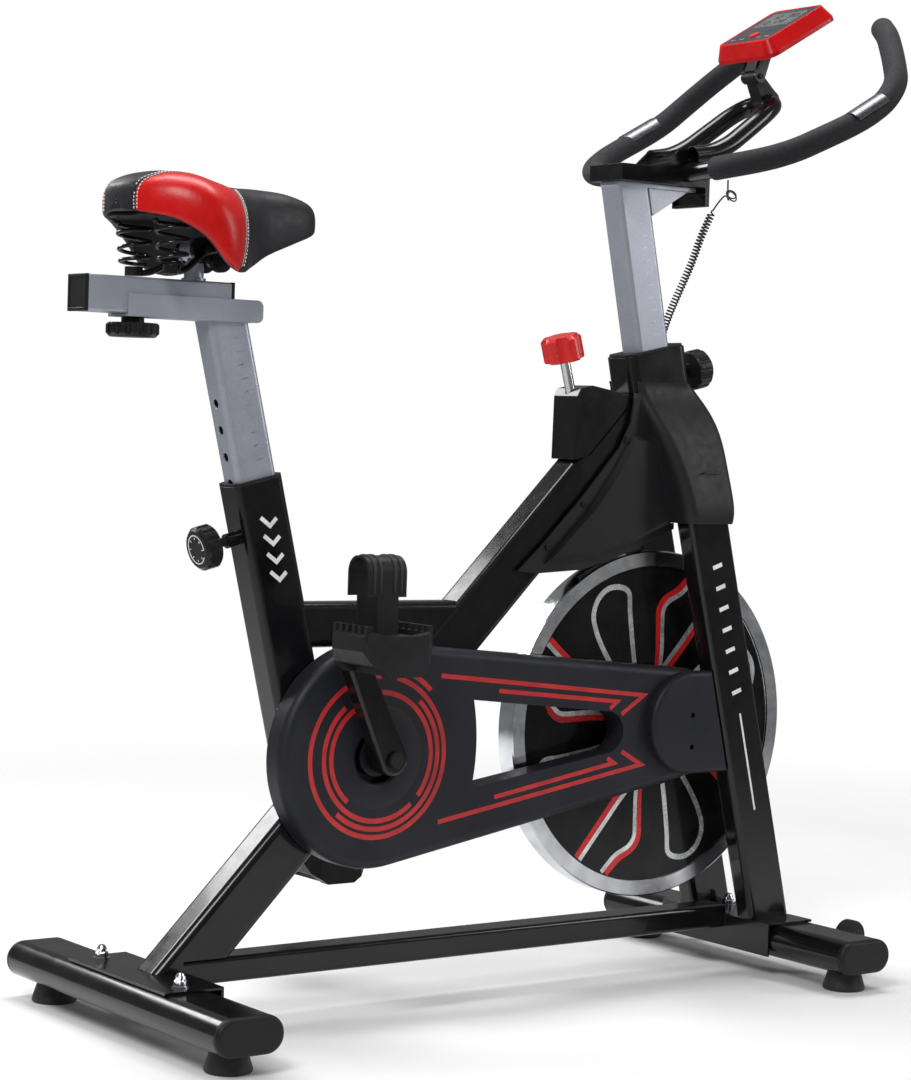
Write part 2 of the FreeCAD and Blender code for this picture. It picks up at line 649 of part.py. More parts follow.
def make_cover():
    outer = cover_body(0, COVER_INNER_Y - 3, COVER_OUTER_Y)
    rim = [e for e in outer.Edges if abs(e.CenterOfMass.y - COVER_OUTER_Y) < 0.1]
    outer = outer.makeFillet(11.0, rim)
    inner = cover_body(COVER_WALL, COVER_INNER_Y, COVER_OUTER_Y + COVER_WALL)
    rim = [e for e in inner.Edges if abs(e.CenterOfMass.y - COVER_OUTER_Y - COVER_WALL) < 0.1]
    inner = inner.makeFillet(8.5, rim)
    shell = outer.cut(inner)
    y_lip = (COVER_INNER_Y - 3, COVER_OUTER_Y + 0.5)
    lip = window_solid(3.0, *y_lip)
    shell = shell.fuse(lip.common(outer)).cut(window_solid(0.0, 0, -90))
    shell = shell.cut(cyl_y(BB, -90, 0, 30.0))
    leg_gap = bar_between(along(LEG_POINT, LEG_ANGLE, 0), along(LEG_POINT, LEG_ANGLE, 560),
                          LEG_DEPTH + 2, LEG_WIDTH + 2, 7.0, 0.0, -LEG_Y)
    shell = shell.cut(leg_gap).cut(drop_gap())
    add("cover_outer", biggest(shell))

    back = cover_body(0, COVER_INNER_Y, COVER_INNER_Y - 3).cut(window_solid(0.0, 0, -90))
    back = back.cut(cyl_y(BB, -90, 0, 26.0)).cut(cyl_y(HUB, -90, 0, 30.0)).cut(leg_gap)
    add("cover_inner", biggest(back))


def drop_gap():
    """Room for the drive-side dropout plate, its nut and the axle."""
    plate = dropout(-LEG_Y - 3.5, -LEG_Y + 3.5)
    return fuse([plate, cyl_y(HUB, -LEG_Y - 14, -LEG_Y + 4, 27.0)])


def make_hub_cap():
    """Raised end cap of the belt cover that hides the axle nut."""
    centre, radius = (706.0, 311.0), 61.0
    y0, y1 = COVER_OUTER_Y, -69.0

    def outline(shrink, y, reach):
        r = radius - shrink
        return Part.Face(Part.Wire([
            Part.Arc(V(centre[0], y, centre[1] + r), V(centre[0] - r, y, centre[1]),
                     V(centre[0], y, centre[1] - r)).toShape(),
            Part.LineSegment(V(centre[0], y, centre[1] - r),
                             V(centre[0] + reach + 16, y, centre[1] - r)).toShape(),
            Part.LineSegment(V(centre[0] + reach + 16, y, centre[1] - r),
                             V(centre[0] + reach - 14, y, centre[1] + r)).toShape(),
            Part.LineSegment(V(centre[0] + reach - 14, y, centre[1] + r),
                             V(centre[0], y, centre[1] + r)).toShape()]))

    body = outline(0, y0, 44).extrude(V(0, y1 - y0, 0))
    rim = [e for e in body.Edges if abs(e.CenterOfMass.y - y1) < 0.1]
    body = body.makeFillet(6.0, rim)
    body = body.cut(outline(3, y0, 60).extrude(V(0, y1 - y0 + 3, 0)))
    leg = bar_between(along(LEG_POINT, LEG_ANGLE, 0), along(LEG_POINT, LEG_ANGLE, 560),
                      LEG_DEPTH + 0.6, LEG_WIDTH + 0.6, 7.0, 0.0, -LEG_Y)
    body = body.cut(leg)
    for z in (-19, 19):
        body = body.cut(cyl_y((centre[0], centre[1] - 10 + z), -90, -50, 3.2))
    add("hub_cap", biggest(body))


# -------------------------------------------------------------- front shells
def section_wire(x0, x1, y0, y1, z, corner):
    cx, cy = (x0 + x1) / 2, (y0 + y1) / 2
    return rounded_rect((x1 - x0) / 2, (y1 - y0) / 2, corner, lambda a, b: V(cx + a, cy + b, z))


SHELL_SECTIONS = [(548.0, 686.0, 758.0, 76.0), (592.0, 676.0, 757.5, 72.0),
                  (624.0, 667.0, 755.0, 64.0), (663.0, 652.0, 751.0, 50.0),
                  (699.0, 638.0, 736.0, 32.0), (714.0, 633.0, 722.0, 30.0)]
WING = [(634.0, 700.0), (628.0, 665.0), (613.0, 636.0), (559.0, 577.0), (505.0, 524.0),
        (468.0, 491.0), (493.0, 488.0), (563.0, 492.0), (640.0, 515.0), (700.0, 540.0),
        (700.0, 700.0)]


def leg_cover(shrink):
    wires = []
    for z, x0, x1, y1 in SHELL_SECTIONS:
        low = z - 1.0 if shrink and z < 549 else z
        wires.append(section_wire(x0 + shrink, x1 - shrink, -20.0, y1 - shrink, low, 13.0 - shrink))
    return Part.makeLoft(wires, True, False)


def wing_solid():
    flange = prism(WING, 25.5, 28.5)
    raised = [(632.0, 652.0), (608.0, 613.0), (568.0, 560.0), (504.0, 497.0), (563.0, 500.0),
              (640.0, 523.0), (690.0, 545.0), (690.0, 655.0)]
    low = Part.makePolygon([V(x, 28.0, z) for x, z in raised + raised[:1]])
    inset = [(x + (630 - x) * 0.09, z + (590 - z) * 0.14) for x, z in raised]
    high = Part.makePolygon([V(x, 38.0, z) for x, z in inset + inset[:1]])
    bump = Part.makeLoft([low, high], True, True)
    return flange, bump


def make_shells():
    flange, bump = wing_solid()
    outer = leg_cover(0.0)
    room = leg_cover(3.0)
    shell = outer.cut(room).cut(box((500, 900), (-60, 25.5), (400, 900)))
    wing = flange.fuse(bump).cut(room)
    shell = shell.fuse(wing).removeSplitter()
    head = bar_between(head_axis(HEAD_BOTTOM - 200), head_axis(HEAD_TOP + 50), HEAD_DEPTH + 1,
                       HEAD_WIDTH + 1, 12.0)
    leg = bar_between(along(LEG_POINT, LEG_ANGLE, -5), along(LEG_POINT, LEG_ANGLE, 560),
                      LEG_DEPTH + 0.6, LEG_WIDTH + 0.6, 7.0, 0.0, LEG_Y)
    shell = shell.cut(head).cut(leg).cut(cross_piece(0.6))
    shell = biggest(shell)
    add("shell_far", shell)
    add("shell_near", mirror_y(shell))


SCREW_POINTS = [(622.0, 645.0), (561.0, 569.0), (510.0, 519.0)]


def make_screws():
    screws = []
    for x, z in SCREW_POINTS:
        screws += both_sides(cyl_y((x, z), 28.5, 30.5, 4.0))
    for i in range(5):
        a = math.radians(205 - 50 * i)
        at = (BB[0] + 121 * math.cos(a), BB[1] + 121 * math.sin(a))
        screws.append(cyl_y(at, COVER_INNER_Y, COVER_INNER_Y + 2, 3.5))
    add("frame_screws", *screws)


def make_bolts():
    """Carriage bolts with dome nuts through the stabilisers, and the roller bolts."""
    solids = []
    for x, y in REAR_BOLTS + FRONT_BOLTS:
        bolt = fuse([cyl((x, y, STAB_TOP - 39), (x, y, PLATE_TOP + 8), 4.0),
                     lathe([(0, -5), (5, -3.5), (8, 0), (0, 0)],
                           (x, y, STAB_Z - STAB_HEIGHT / 2), (0, 0, 1), (1, 0, 0))])
        washer = lathe([(4.0, 0), (9, 0), (9, 1.6), (4.0, 1.6)], (x, y, PLATE_TOP), (0, 0, 1), (1, 0, 0))
        nut = lathe([(4.0, 1.6), (7.2, 1.6), (7.2, 7), (5.6, 8), (5.6, 11), (3.6, 14.5), (0, 16),
                     (0, 8), (4.0, 8)], (x, y, PLATE_TOP), (0, 0, 1), (1, 0, 0))
        solids += [bolt, washer, nut]
    for sign in (-1, 1):
        y0, y1 = sorted((sign * (WHEEL_Y - 16), sign * (WHEEL_Y + 13)))
        solids.append(cyl_y(WHEEL_AT, y0, y1, 4.0))
        y0, y1 = sorted((sign * (WHEEL_Y - 14), sign * (WHEEL_Y - 10.5)))
        arm = prism([(FRONT_X + 40, 37), (FRONT_X + 40, 49), (WHEEL_AT[0] + 6, WHEEL_AT[1] + 8),
                     (WHEEL_AT[0] + 8, WHEEL_AT[1] - 6)], y0, y1)
        solids.append(arm.cut(cyl_y(WHEEL_AT, y0 - 1, y1 + 1, 4.0)))
    add("frame_bolts", *solids)


WHEEL_AT, WHEEL_Y, WHEEL_RADIUS = (918.0, 48.0), 130.0, 20.0


def make_wheels():
    for name, sign in (("wheel_near", -1), ("wheel_far", 1)):
        wheel = lathe([(4.05, -9), (8, -10), (WHEEL_RADIUS - 3, -9), (WHEEL_RADIUS, -6),
                       (WHEEL_RADIUS, 6), (WHEEL_RADIUS - 3, 9), (8, 10), (4.05, 9)],
                      (WHEEL_AT[0], sign * WHEEL_Y, WHEEL_AT[1]), (0, 1, 0), (1, 0, 0))
        add(name, wheel)


# ---------------------------------------------------------------------- seat
def make_bushings():
    seat = bar_between(along(SEAT_POINT, SEAT_ANGLE, -70), along(SEAT_POINT, SEAT_ANGLE, 10),
                       TUBE_DEPTH - 4, TUBE_WIDTH - 4, TUBE_CORNER - 2)
    lip = bar_between(along(SEAT_POINT, SEAT_ANGLE, 10), along(SEAT_POINT, SEAT_ANGLE, 13),
                      TUBE_DEPTH, TUBE_WIDTH, TUBE_CORNER)
    gap = 2 * SLIDE_GAP
    bore = bar_between(along(SEAT_POINT, SEAT_ANGLE, -90), along(SEAT_POINT, SEAT_ANGLE, 30),
                       POST_DEPTH + gap, POST_WIDTH + gap, POST_CORNER)
    seat = fuse([seat, lip]).cut(bore)
    seat = seat.cut(pin_hole(SEAT_POINT, SEAT_ANGLE, SEAT_PIN, -1, 8.0, 60.0))

    head = bar_between(head_axis(HEAD_BOTTOM + 12), head_axis(HEAD_TOP), HEAD_DEPTH - 6,
                       HEAD_WIDTH - 6, 9.0)
    lip = bar_between(head_axis(HEAD_TOP), head_axis(HEAD_TOP + 3), HEAD_DEPTH - 4,
                      HEAD_WIDTH - 4, 10.0)
    bore = bar_between(head_axis(-300), head_axis(60), POST_DEPTH + gap, POST_WIDTH + gap,
                       POST_CORNER)
    head = fuse([head, lip]).cut(bore)
    head = head.cut(pin_hole(HEAD_POINT, HEAD_ANGLE, HEAD_PIN, 1, 8.0, 80.0))
    add("post_bushings", seat, head)


def make_seat_post():
    bottom, top = -134.0, 184.2
    post = bar_between(along(SEAT_POINT, SEAT_ANGLE, bottom), along(SEAT_POINT, SEAT_ANGLE, top + 12),
                       POST_DEPTH, POST_WIDTH, POST_CORNER, POST_WALL)
    post = post.cut(box((-200, 300), (-60, 60), (RAIL_Z - PLATE, RAIL_Z + 100)))
    for i in range(-2, 6):
        post = post.cut(pin_hole(SEAT_POINT, SEAT_ANGLE, SEAT_PIN + i * HOLE_PITCH, -1,
                                 HOLE_RADIUS, 40.0))
    half = SLIDER_SIZE / 2 + SLIDE_GAP
    outer = box(SLEEVE_X, (-half - PLATE, half + PLATE), (RAIL_Z - PLATE, RAIL_Z + 21))
    corners = [e for e in outer.Edges if abs(e.Length - 2 * (half + PLATE)) < 0.01
               and e.CenterOfMass.x > 100]
    outer = outer.makeFillet(7.0, corners)
    sleeve = outer.cut(box((SLEEVE_X[0] - 1, SLEEVE_X[1] + 1), (-half, half), (RAIL_Z, RAIL_Z + 60)))
    sleeve = sleeve.cut(cyl((KNOB_X, 0, RAIL_Z - 10), (KNOB_X, 0, RAIL_Z + 5), 5.05))
    add("seat_post", post, sleeve)


KNOB_X = -28.0


def make_slider():
    z0, z1 = RAIL_Z + SLIDE_GAP, RAIL_Z + SLIDE_GAP + SLIDER_SIZE
    mid = (z0 + z1) / 2
    tube = bar_between((SLIDER_X[0] + 3, mid), (SLIDER_X[1] - 1.5, mid), SLIDER_SIZE, SLIDER_SIZE,
                       3.0, 1.5)
    tube = tube.cut(cyl((SADDLE_PIVOT[0], 0, z1 - 10), (SADDLE_PIVOT[0], 0, z1 + 5), 6.0))
    caps = [bar_between((SLIDER_X[0], mid), (SLIDER_X[0] + 3, mid), SLIDER_SIZE, SLIDER_SIZE, 3.0),
            bar_between((SLIDER_X[1] - 1.5, mid), (SLIDER_X[1], mid), SLIDER_SIZE, SLIDER_SIZE, 3.0)]
    stub = fuse([cyl((SADDLE_PIVOT[0], 0, z1 - 8), (SADDLE_PIVOT[0], 0, z1 + 14), 6.0),
                 cyl((SADDLE_PIVOT[0], 0, z1), (SADDLE_PIVOT[0], 0, z1 + 3), 13.0),
                 cyl((SADDLE_PIVOT[0], 0, z1 + 3), (SADDLE_PIVOT[0], 0, z1 + 19), 10.5)])
    eye = cyl_y(SADDLE_PIVOT, -11, 11, 12.5)
    stub = fuse([stub, eye]).cut(cyl_y(SADDLE_PIVOT, -20, 20, 4.05))
    add("seat_slider", tube, *caps, stub)


SPRING_AT, SPRING_BASE, SPRING_HEIGHT = (-6.0, 40.0), 815.0, 43.0
SCROLL_AT = (66.0, 821.0)


def make_saddle():
    """Wire rails from the rear springs through the clamp to the front scroll."""
    px, pz = SADDLE_PIVOT
    sx, sy = SPRING_AT
    solids = []
    for sign in (-1, 1):
        rail = [(sx, sign * sy, 807), (sx + 22, sign * 32, 810), (px, sign * 22, pz - 4),
                (px + 26, sign * 18, pz + 2), (px + 60, sign * 12, 842), (138, sign * 6, 851)]
        solids.append(smooth_pipe(rail, 3.5))
        y0, y1 = sorted((sign * 12.0, sign * 18.5))
        solids.append(cyl_y((px, pz), y0, y1, 13.0))
        solids.append(cyl((sx, sign * sy, 803), (sx, sign * sy, SPRING_BASE - 2.4), 9.6))
        y0, y1 = sorted((sign * 13.0, sign * 21.0))
        solids.append(ring_y(SCROLL_AT, y0, y1, 12.0, 6.0))
    solids.append(cyl_y((px, pz), -30, 30, 4.0))
    solids.append(cyl_y(SCROLL_AT, -21, 21, 6.2))
    solids.append(box((134, 143), (-9, 9), (848, 854)))
    solids.append(ring_y(BOUNCE_PIVOT, -9, 9, 8.0, 3.05))
    add("saddle_frame", merge_touching(solids))

    springs = [coil_spring((sx, s * sy, SPRING_BASE), 14.0, 19.5, SPRING_HEIGHT, 3.5, 2.2)
               for s in (-1, 1)]
    add("saddle_springs", *springs)


def merge_touching(solids):
    """Weld the pieces that overlap into one solid each."""
    return Part.makeCompound(solids[0].multiFuse(solids[1:]).Solids)


# station along the saddle, half width, lower rim, crest
SADDLE_SECTIONS = [(-52.0, 20.0, 868.0, 890.0), (-40.0, 50.0, 864.0, 903.0),
                   (-18.0, 74.0, 858.0, 911.0), (8.0, 91.0, 840.0, 911.0),
                   (32.0, 96.0, 814.0, 906.0), (54.0, 87.0, 806.0, 902.0),
                   (78.0, 64.0, 813.0, 900.0), (108.0, 45.0, 828.0, 901.0),
                   (146.0, 37.0, 843.0, 899.0), (172.0, 30.0, 853.0, 892.0),
                   (188.0, 18.0, 861.0, 881.0)]
CAVITY_TOP = 867.0


def saddle_loft(sections):
    wires = []
    for x, half, low, high in sections:
        mid = (low + high) / 2
        corner = min((high - low) / 2, half) * 0.8
        wires.append(rounded_rect(half, (high - low) / 2, corner,
                                  lambda a, b, x=x, mid=mid: V(x, a, mid + b)))
    return Part.makeLoft(wires, True, False)


def saddle_plan(shrink, nose, z, height):
    """Flat plate with the saddle's plan shape, drawn in from its rim."""
    inner = [(x, half - shrink) for x, half, _, _ in SADDLE_SECTIONS[1:-2]]
    ends = [(inner[0][0] - 4 + shrink * 0.4, 0.0)], [(inner[-1][0] + nose, 0.0)]
    outline = ends[0] + inner + ends[1] + [(x, -y) for x, y in reversed(inner)]
    curve = Part.BSplineCurve()
    curve.interpolate([V(x, y, z) for x, y in outline], PeriodicFlag=True)
    return Part.Face(Part.Wire([curve.toShape()])).extrude(V(0, 0, height))


def make_saddle_top():
    pan = saddle_plan(15.0, 10.0, CAVITY_TOP - 4.0, 3.0)
    x, z = BOUNCE_PIVOT
    ears = [cyl_y(BOUNCE_PIVOT, -14, 14, 3.0)]
    for sign in (-1, 1):
        y0, y1 = sorted((sign * 10.0, sign * 14.0))
        ears.append(prism([(x - 6, CAVITY_TOP - 2), (x + 6, CAVITY_TOP - 2), (x + 6, z - 5),
                           (x - 6, z - 5)], y0, y1))
    add("saddle_pan", fuse([pan] + ears))
    body = saddle_loft(SADDLE_SECTIONS)
    cavity = saddle_plan(11.0, 21.0, 780.0, CAVITY_TOP - 780.0)
    add("saddle_cushion", biggest(body.cut(cavity)))


# --------------------------------------------------------------------- knobs
def leaning_knob(point, angle, distance, side, reach, face, radius, height, flutes):
    """Knob and its locking pin, square to a leaning tube; the pin stands withdrawn."""
    at = along(point, angle, distance)
    a = math.radians(angle)
    out = V(side * math.cos(a), 0, side * math.sin(a))
    origin = V(at[0], 0, at[1])
    start = origin + out * reach
    knob_base = origin + out * face
    across = V(0, 1, 0)
    knob = fluted_knob(tuple(knob_base), tuple(out), tuple(across), radius, height, flutes, 3.2)
    pin = Part.makeCylinder(PIN_RADIUS, (knob_base - start).Length, start, out)
    neck = Part.makeCylinder(9.0, 4.0, knob_base - out * 4, out)
    return fuse([knob, pin, neck])


def threaded_boss(point, angle, distance, side, inner, outer):
    """Nut welded on the tube that guides the locking pin."""
    at = along(point, angle, distance)
    a = math.radians(angle)
    out = V(side * math.cos(a), 0, side * math.sin(a))
    start = V(at[0], 0, at[1]) + out * inner
    ring = Part.makeCylinder(8.0, outer - inner, start, out)
    return ring.cut(Part.makeCylinder(PIN_RADIUS + 0.05, outer - inner + 2, start - out, out))


def make_knobs():
    seat_half, head_half = TUBE_DEPTH / 2, HEAD_DEPTH / 2
    seat_reach = POST_DEPTH / 2 + 1.5
    add("seat_post_knob", leaning_knob(SEAT_POINT, SEAT_ANGLE, SEAT_PIN, -1, seat_reach,
                                       seat_half + 31, 24.0, 20.0, 14))
    add("head_knob", leaning_knob(HEAD_POINT, HEAD_ANGLE, HEAD_PIN, 1, seat_reach,
                                  head_half + 18, 24.0, 22.0, 14))
    stem = cyl((KNOB_X, 0, RAIL_Z - 10), (KNOB_X, 0, RAIL_Z), 5.0)
    collar = cyl((KNOB_X, 0, RAIL_Z - 10), (KNOB_X, 0, RAIL_Z - PLATE - 0.5), 12.0)
    knob = fluted_knob((KNOB_X, 0, RAIL_Z - 9), (0, 0, -1), (1, 0, 0), 28.0, 15.0, 14, 3.6)
    add("seat_slider_knob", fuse([stem, collar, knob]))


# ----------------------------------------------------------------- handlebar
POST_TOP = 196.0
ARM_X = (606.0, 726.0)
ARM_Z = 943.0


def make_handlebar_post():
    post = bar_between(head_axis(-108), head_axis(POST_TOP + 20), POST_DEPTH, POST_WIDTH,
                       POST_CORNER, POST_WALL)
    post = post.cut(box((400, 900), (-60, 60), (ARM_Z, 1200)))
    for i in range(-1, 4):
        post = post.cut(pin_hole(HEAD_POINT, HEAD_ANGLE, HEAD_PIN + i * HOLE_PITCH, 1,
                                 HOLE_RADIUS, 40.0))
    arm = box(ARM_X, (-POST_WIDTH / 2, POST_WIDTH / 2), (ARM_Z, ARM_Z + 5))
    front = head_axis(POST_TOP - 30)
    gusset = prism([(front[0] + 26.5, front[1] - 2), (ARM_X[1] - 10, ARM_Z), (front[0] + 19, ARM_Z)],
                   -2.0, 2.0)
    gussets = []
    for y in (-12.0, 12.0):
        plate = gusset.copy()
        plate.translate(V(0, y, 0))
        gussets.append(plate)
    add("handlebar_post", post, arm, *gussets)


BRACKET_SIDE = [(600.0, 948.3), (600.0, 968.0), (640.0, 968.0), (668.0, 974.0), (686.0, 990.0),
                (703.0, 993.0), (722.0, 984.0), (736.0, 962.0), (736.0, 926.0), (729.0, 926.0),
                (729.0, 948.3)]
BAR_AT = (702.0, 964.0)


def make_bracket():
    """Folded sheet cradle bolted on the post arm; the bars pass through its sides."""
    side = prism(BRACKET_SIDE, 27.0, 30.0)
    side = side.cut(cyl_y(BAR_AT, 0, 60, BAR_RADIUS + 0.05))
    sides = both_sides(side)
    rear = box((600, 603), (-27, 27), (948.3, 968))
    floor = box((603, 729), (-27, 27), (948.3, 951.3))
    front = box((733, 736), (-27, 27), (926, 966))
    bottom = box((ARM_X[1] + 3, 733), (-27, 27), (926, 929))
    cradle = fuse(sides + [rear, floor, front, bottom])
    for points, radius in ((BAR_POINTS, BAR_RADIUS), (LOOP_POINTS, LOOP_RADIUS)):
        cradle = cradle.cut(pipe(both_ways(points), radius + 0.02))
    add("handlebar_bracket", cradle)


BAR_POINTS = [(702, 0, 964), (701, 60, 965), (694.5, 108, 967), (701, 142, 970.5),
              (714, 167, 976), (733, 185, 985), (758, 196, 998.5), (790, 203, 1014),
              (822, 204, 1030), (856, 200, 1051), (882, 190, 1076), (905, 160, 1108),
              (929, 125, 1140), (946, 99, 1153)]
GRIP_START = 84.0
LOOP_POINTS = [(700, 38, 984), (730, 38, 989), (757, 38, 1001), (789, 36, 1023), (820, 33, 1045),
               (840, 25, 1058), (849, 0, 1063)]


def both_ways(points):
    """The points of one half, carried across the middle plane to the other half."""
    other = [(x, -y, z) for x, y, z in points if y > 0]
    middle = [p for p in points if p[1] == 0]
    half = [p for p in points if p[1] > 0]
    if points[0][1] == 0:
        return list(reversed(other)) + middle + half
    return half + middle + list(reversed(other))


def make_bars():
    points = both_ways(BAR_POINTS)
    core = pipe(points, BAR_RADIUS)
    add("handlebar", pipe(points, BAR_RADIUS, 2.0))
    foam = pipe(points, FOAM_RADIUS)
    tip, before = V(*points[-1]), V(*points[-2])
    end = Part.makeCylinder(FOAM_RADIUS, 5.0, tip - (tip - before).normalize(), tip - before)
    foam = fuse([foam, end, mirror_y(end)]).cut(core)
    foam = foam.cut(box((600, 1000), (-GRIP_START, GRIP_START), (900, 1200)))
    add("grips", *sorted(foam.Solids, key=lambda solid: -solid.Volume)[:2])
    add("pulse_sensors", *both_sides(pulse_plate().cut(pipe(points, FOAM_RADIUS + 0.02))))


def pulse_plate():
    """Curved metal contact lying on top of a grip where the palm rests."""
    before, centre, after = (V(*BAR_POINTS[i]) for i in (7, 8, 9))
    run = (after - before).normalize()
    inside, length = FOAM_RADIUS + 0.4, 56.0
    start = centre - run * (length / 2)
    shell = Part.makeCylinder(inside + 1.6, length, start, run)
    shell = shell.cut(Part.makeCylinder(inside, length, start, run))
    normal = run.cross(V(0, 1, 0)).normalize()
    normal = normal if normal.z > 0 else normal * -1
    keep = Part.makeBox(200, 200, 60, V(-100, -100, 5.5))
    keep.Placement = FreeCAD.Placement(centre, FreeCAD.Rotation(run, V(), normal, "XZY"))
    return biggest(shell.common(keep))


def make_loop():
    """Inner hand loop: two legs that rise forward and meet in a bend."""
    loop = pipe(both_ways(LOOP_POINTS), LOOP_RADIUS, 2.0)
    add("inner_loop", loop.cut(pipe(both_ways(BAR_POINTS), BAR_RADIUS)))


def console_box(size, centre, angle, corner):
    length, width, height = size
    solid = Part.makeBox(length, width, height, V(-length / 2, -width / 2, -height / 2))
    upright = [e for e in solid.Edges if abs(e.Length - height) < 0.01]
    solid = solid.makeFillet(corner, upright)
    solid.rotate(V(0, 0, 0), V(0, 1, 0), -angle)
    solid.translate(V(centre[0], 0, centre[1]))
    return solid


def console_at(a, b):
    """Point in the console's own plane: a along its length, b out of its face."""
    t = math.radians(CONSOLE_ANGLE)
    return (CONSOLE_CENTRE[0] + a * math.cos(t) - b * math.sin(t),
            CONSOLE_CENTRE[1] + a * math.sin(t) + b * math.cos(t))


def console_lift(face):
    """Height of a face above the console's middle plane."""
    t = math.radians(CONSOLE_ANGLE)
    c = face.CenterOfMass
    return -(c.x - CONSOLE_CENTRE[0]) * math.sin(t) + (c.z - CONSOLE_CENTRE[1]) * math.cos(t)


def console_rim(length, width, lift, corner):
    """Rounded outline of the housing at one height above its middle plane."""
    slab = console_box((length, width, 1.0), console_at(0, lift - 0.5), CONSOLE_ANGLE, corner)
    return max(slab.Faces, key=console_lift).OuterWire


def make_console():
    length, width, height = CONSOLE_SIZE
    rims = [console_rim(length, width, -height / 2, 14.0),
            console_rim(length, width, -height / 2 + CONSOLE_LIP, 14.0),
            console_rim(length - CONSOLE_DRAFT, width - CONSOLE_DRAFT, height / 2, 9.0)]
    housing = Part.makeLoft(rims, True, True)
    recess = console_box((length - 22, width - 22, 3.0), console_at(0, height / 2 - 1.5),
                         CONSOLE_ANGLE, 8.0)
    pocket = console_at(-30, 0), console_at(-30, 40)
    hole = cyl((pocket[0][0], 0, pocket[0][1]), (pocket[1][0], 0, pocket[1][1]), 7.0)
    hollow = console_box((length - 30, width - 30, 12.0), console_at(0, -0.5), CONSOLE_ANGLE, 8.0)
    lug = fuse([ring_y(CONSOLE_PIVOT, 9.5, 13.5, 8.0, 3.05),
                ring_y(CONSOLE_PIVOT, -13.5, -9.5, 8.0, 3.05)])
    tabs = []
    for y in (9.5, -13.5):
        root = [console_at(-42, -height / 2), console_at(-18, -height / 2),
                (CONSOLE_PIVOT[0] + 8, CONSOLE_PIVOT[1]), (CONSOLE_PIVOT[0] - 8, CONSOLE_PIVOT[1])]
        tabs.append(prism(root, y, y + 4).cut(cyl_y(CONSOLE_PIVOT, -30, 30, 3.05)))
    housing = fuse([housing.cut(recess).cut(hollow)] + tabs + lug.Solids).cut(hole)
    add("console_housing", housing)

    lens = console_box((length - 22.4, width - 22.4, 2.4), console_at(0, height / 2 - 1.4),
                       CONSOLE_ANGLE, 8.0)
    add("console_lens", lens.cut(hole))
    low, high = console_at(-30, 6.8), console_at(-30, height / 2 + 1.5)
    button = cyl((low[0], 0, low[1]), (high[0], 0, high[1]), 6.7)
    add("console_button", button)


def make_stem():
    """Clamp round the loop's bend that carries the console hinge."""
    x, z = LOOP_POINTS[-1][0], LOOP_POINTS[-1][2]
    px, pz = CONSOLE_PIVOT
    grip = cyl_y((x, z), -9.0, 9.0, LOOP_RADIUS + 4)
    arm = prism([(px - 7, pz + 3), (px + 3, pz + 7), (x + 8, z + 12), (x - 13, z - 5)], -9.0, 9.0)
    knuckle = cyl_y(CONSOLE_PIVOT, -9.0, 9.0, 8.0)
    stem = fuse([grip, arm, knuckle]).cut(pipe(both_ways(LOOP_POINTS), LOOP_RADIUS))
    stem = stem.cut(cyl_y(CONSOLE_PIVOT, -20, 20, 3.0))
    add("console_stem", biggest(stem), cyl_y(CONSOLE_PIVOT, -16.0, 16.0, 3.0))


# --------------------------------------------------------------------- brake
def brake_point(distance):
    return along(BRAKE_TOP, BRAKE_ANGLE, distance)


def brake_cyl(d0, d1, radius):
    a, b = brake_point(d0), brake_point(d1)
    return cyl((a[0], 0, a[1]), (b[0], 0, b[1]), radius)


def make_brake():
    housing = [(550.0, 620.0), (551.0, 694.0), (556.0, 703.0), (574.0, 707.0), (629.0, 698.0),
               (640.0, 640.0)]
    outer = prism(housing, -22.0, 22.0)
    inner = prism([(552.5, 610.0), (553.5, 693.0), (558.0, 700.5), (573.5, 704.5), (660.0, 690.0),
                   (660.0, 610.0)], -20.0, 20.0)
    head = bar_between(head_axis(-400), head_axis(100), HEAD_DEPTH, HEAD_WIDTH + 20, 2.0)
    shell = outer.cut(inner).cut(main_solid()).cut(head).cut(brake_cyl(-300, 40, 6.3))
    add("brake_housing", biggest(shell))

    centre = brake_point(-16)
    axis = V(-math.sin(math.radians(BRAKE_ANGLE)), 0, math.cos(math.radians(BRAKE_ANGLE)))
    knob = fluted_knob((centre[0], 0, centre[1]), tuple(axis), (0, 1, 0), 24.0, 30.0, 5, 11.0)
    knob = knob.cut(brake_cyl(-20, -4, 6.05))
    add("brake_knob", knob)

    rod = brake_cyl(ROD_END, -4, 6.0)
    add("brake_rod", fuse([rod, brake_cyl(-74.5, -71.5, 9.2)]))

    spring = coil_spring((0, 0, 0), 8.2, 8.2, 26.5, 5.0, 1.1)
    spring.rotate(V(0, 0, 0), V(0, 1, 0), -BRAKE_ANGLE)
    base = brake_point(-104)
    spring.translate(V(base[0], 0, base[1]))
    add("brake_spring", spring)

    tip = brake_point(ROD_END)
    radial = math.atan2(tip[1] - HUB[1], tip[0] - HUB[0])
    inside = FLYWHEEL_RADIUS + BRAKE_TRAVEL + 0.3

    def arc_block(r0, r1, y0, y1):
        spread = math.radians(10)
        points = []
        for k in range(7):
            t = radial - spread + k * spread / 3
            points.append((HUB[0] + r1 * math.cos(t), HUB[1] + r1 * math.sin(t)))
        for k in range(7):
            t = radial + spread - k * spread / 3
            points.append((HUB[0] + r0 * math.cos(t), HUB[1] + r0 * math.sin(t)))
        return prism(points, y0, y1)

    pad = arc_block(inside, inside + 9, -11, 11)
    holder = arc_block(inside + 9, inside + 14, -14, 14).cut(brake_cyl(ROD_END, 0, 6.0))
    add("brake_pad", pad)
    add("pad_holder", holder)


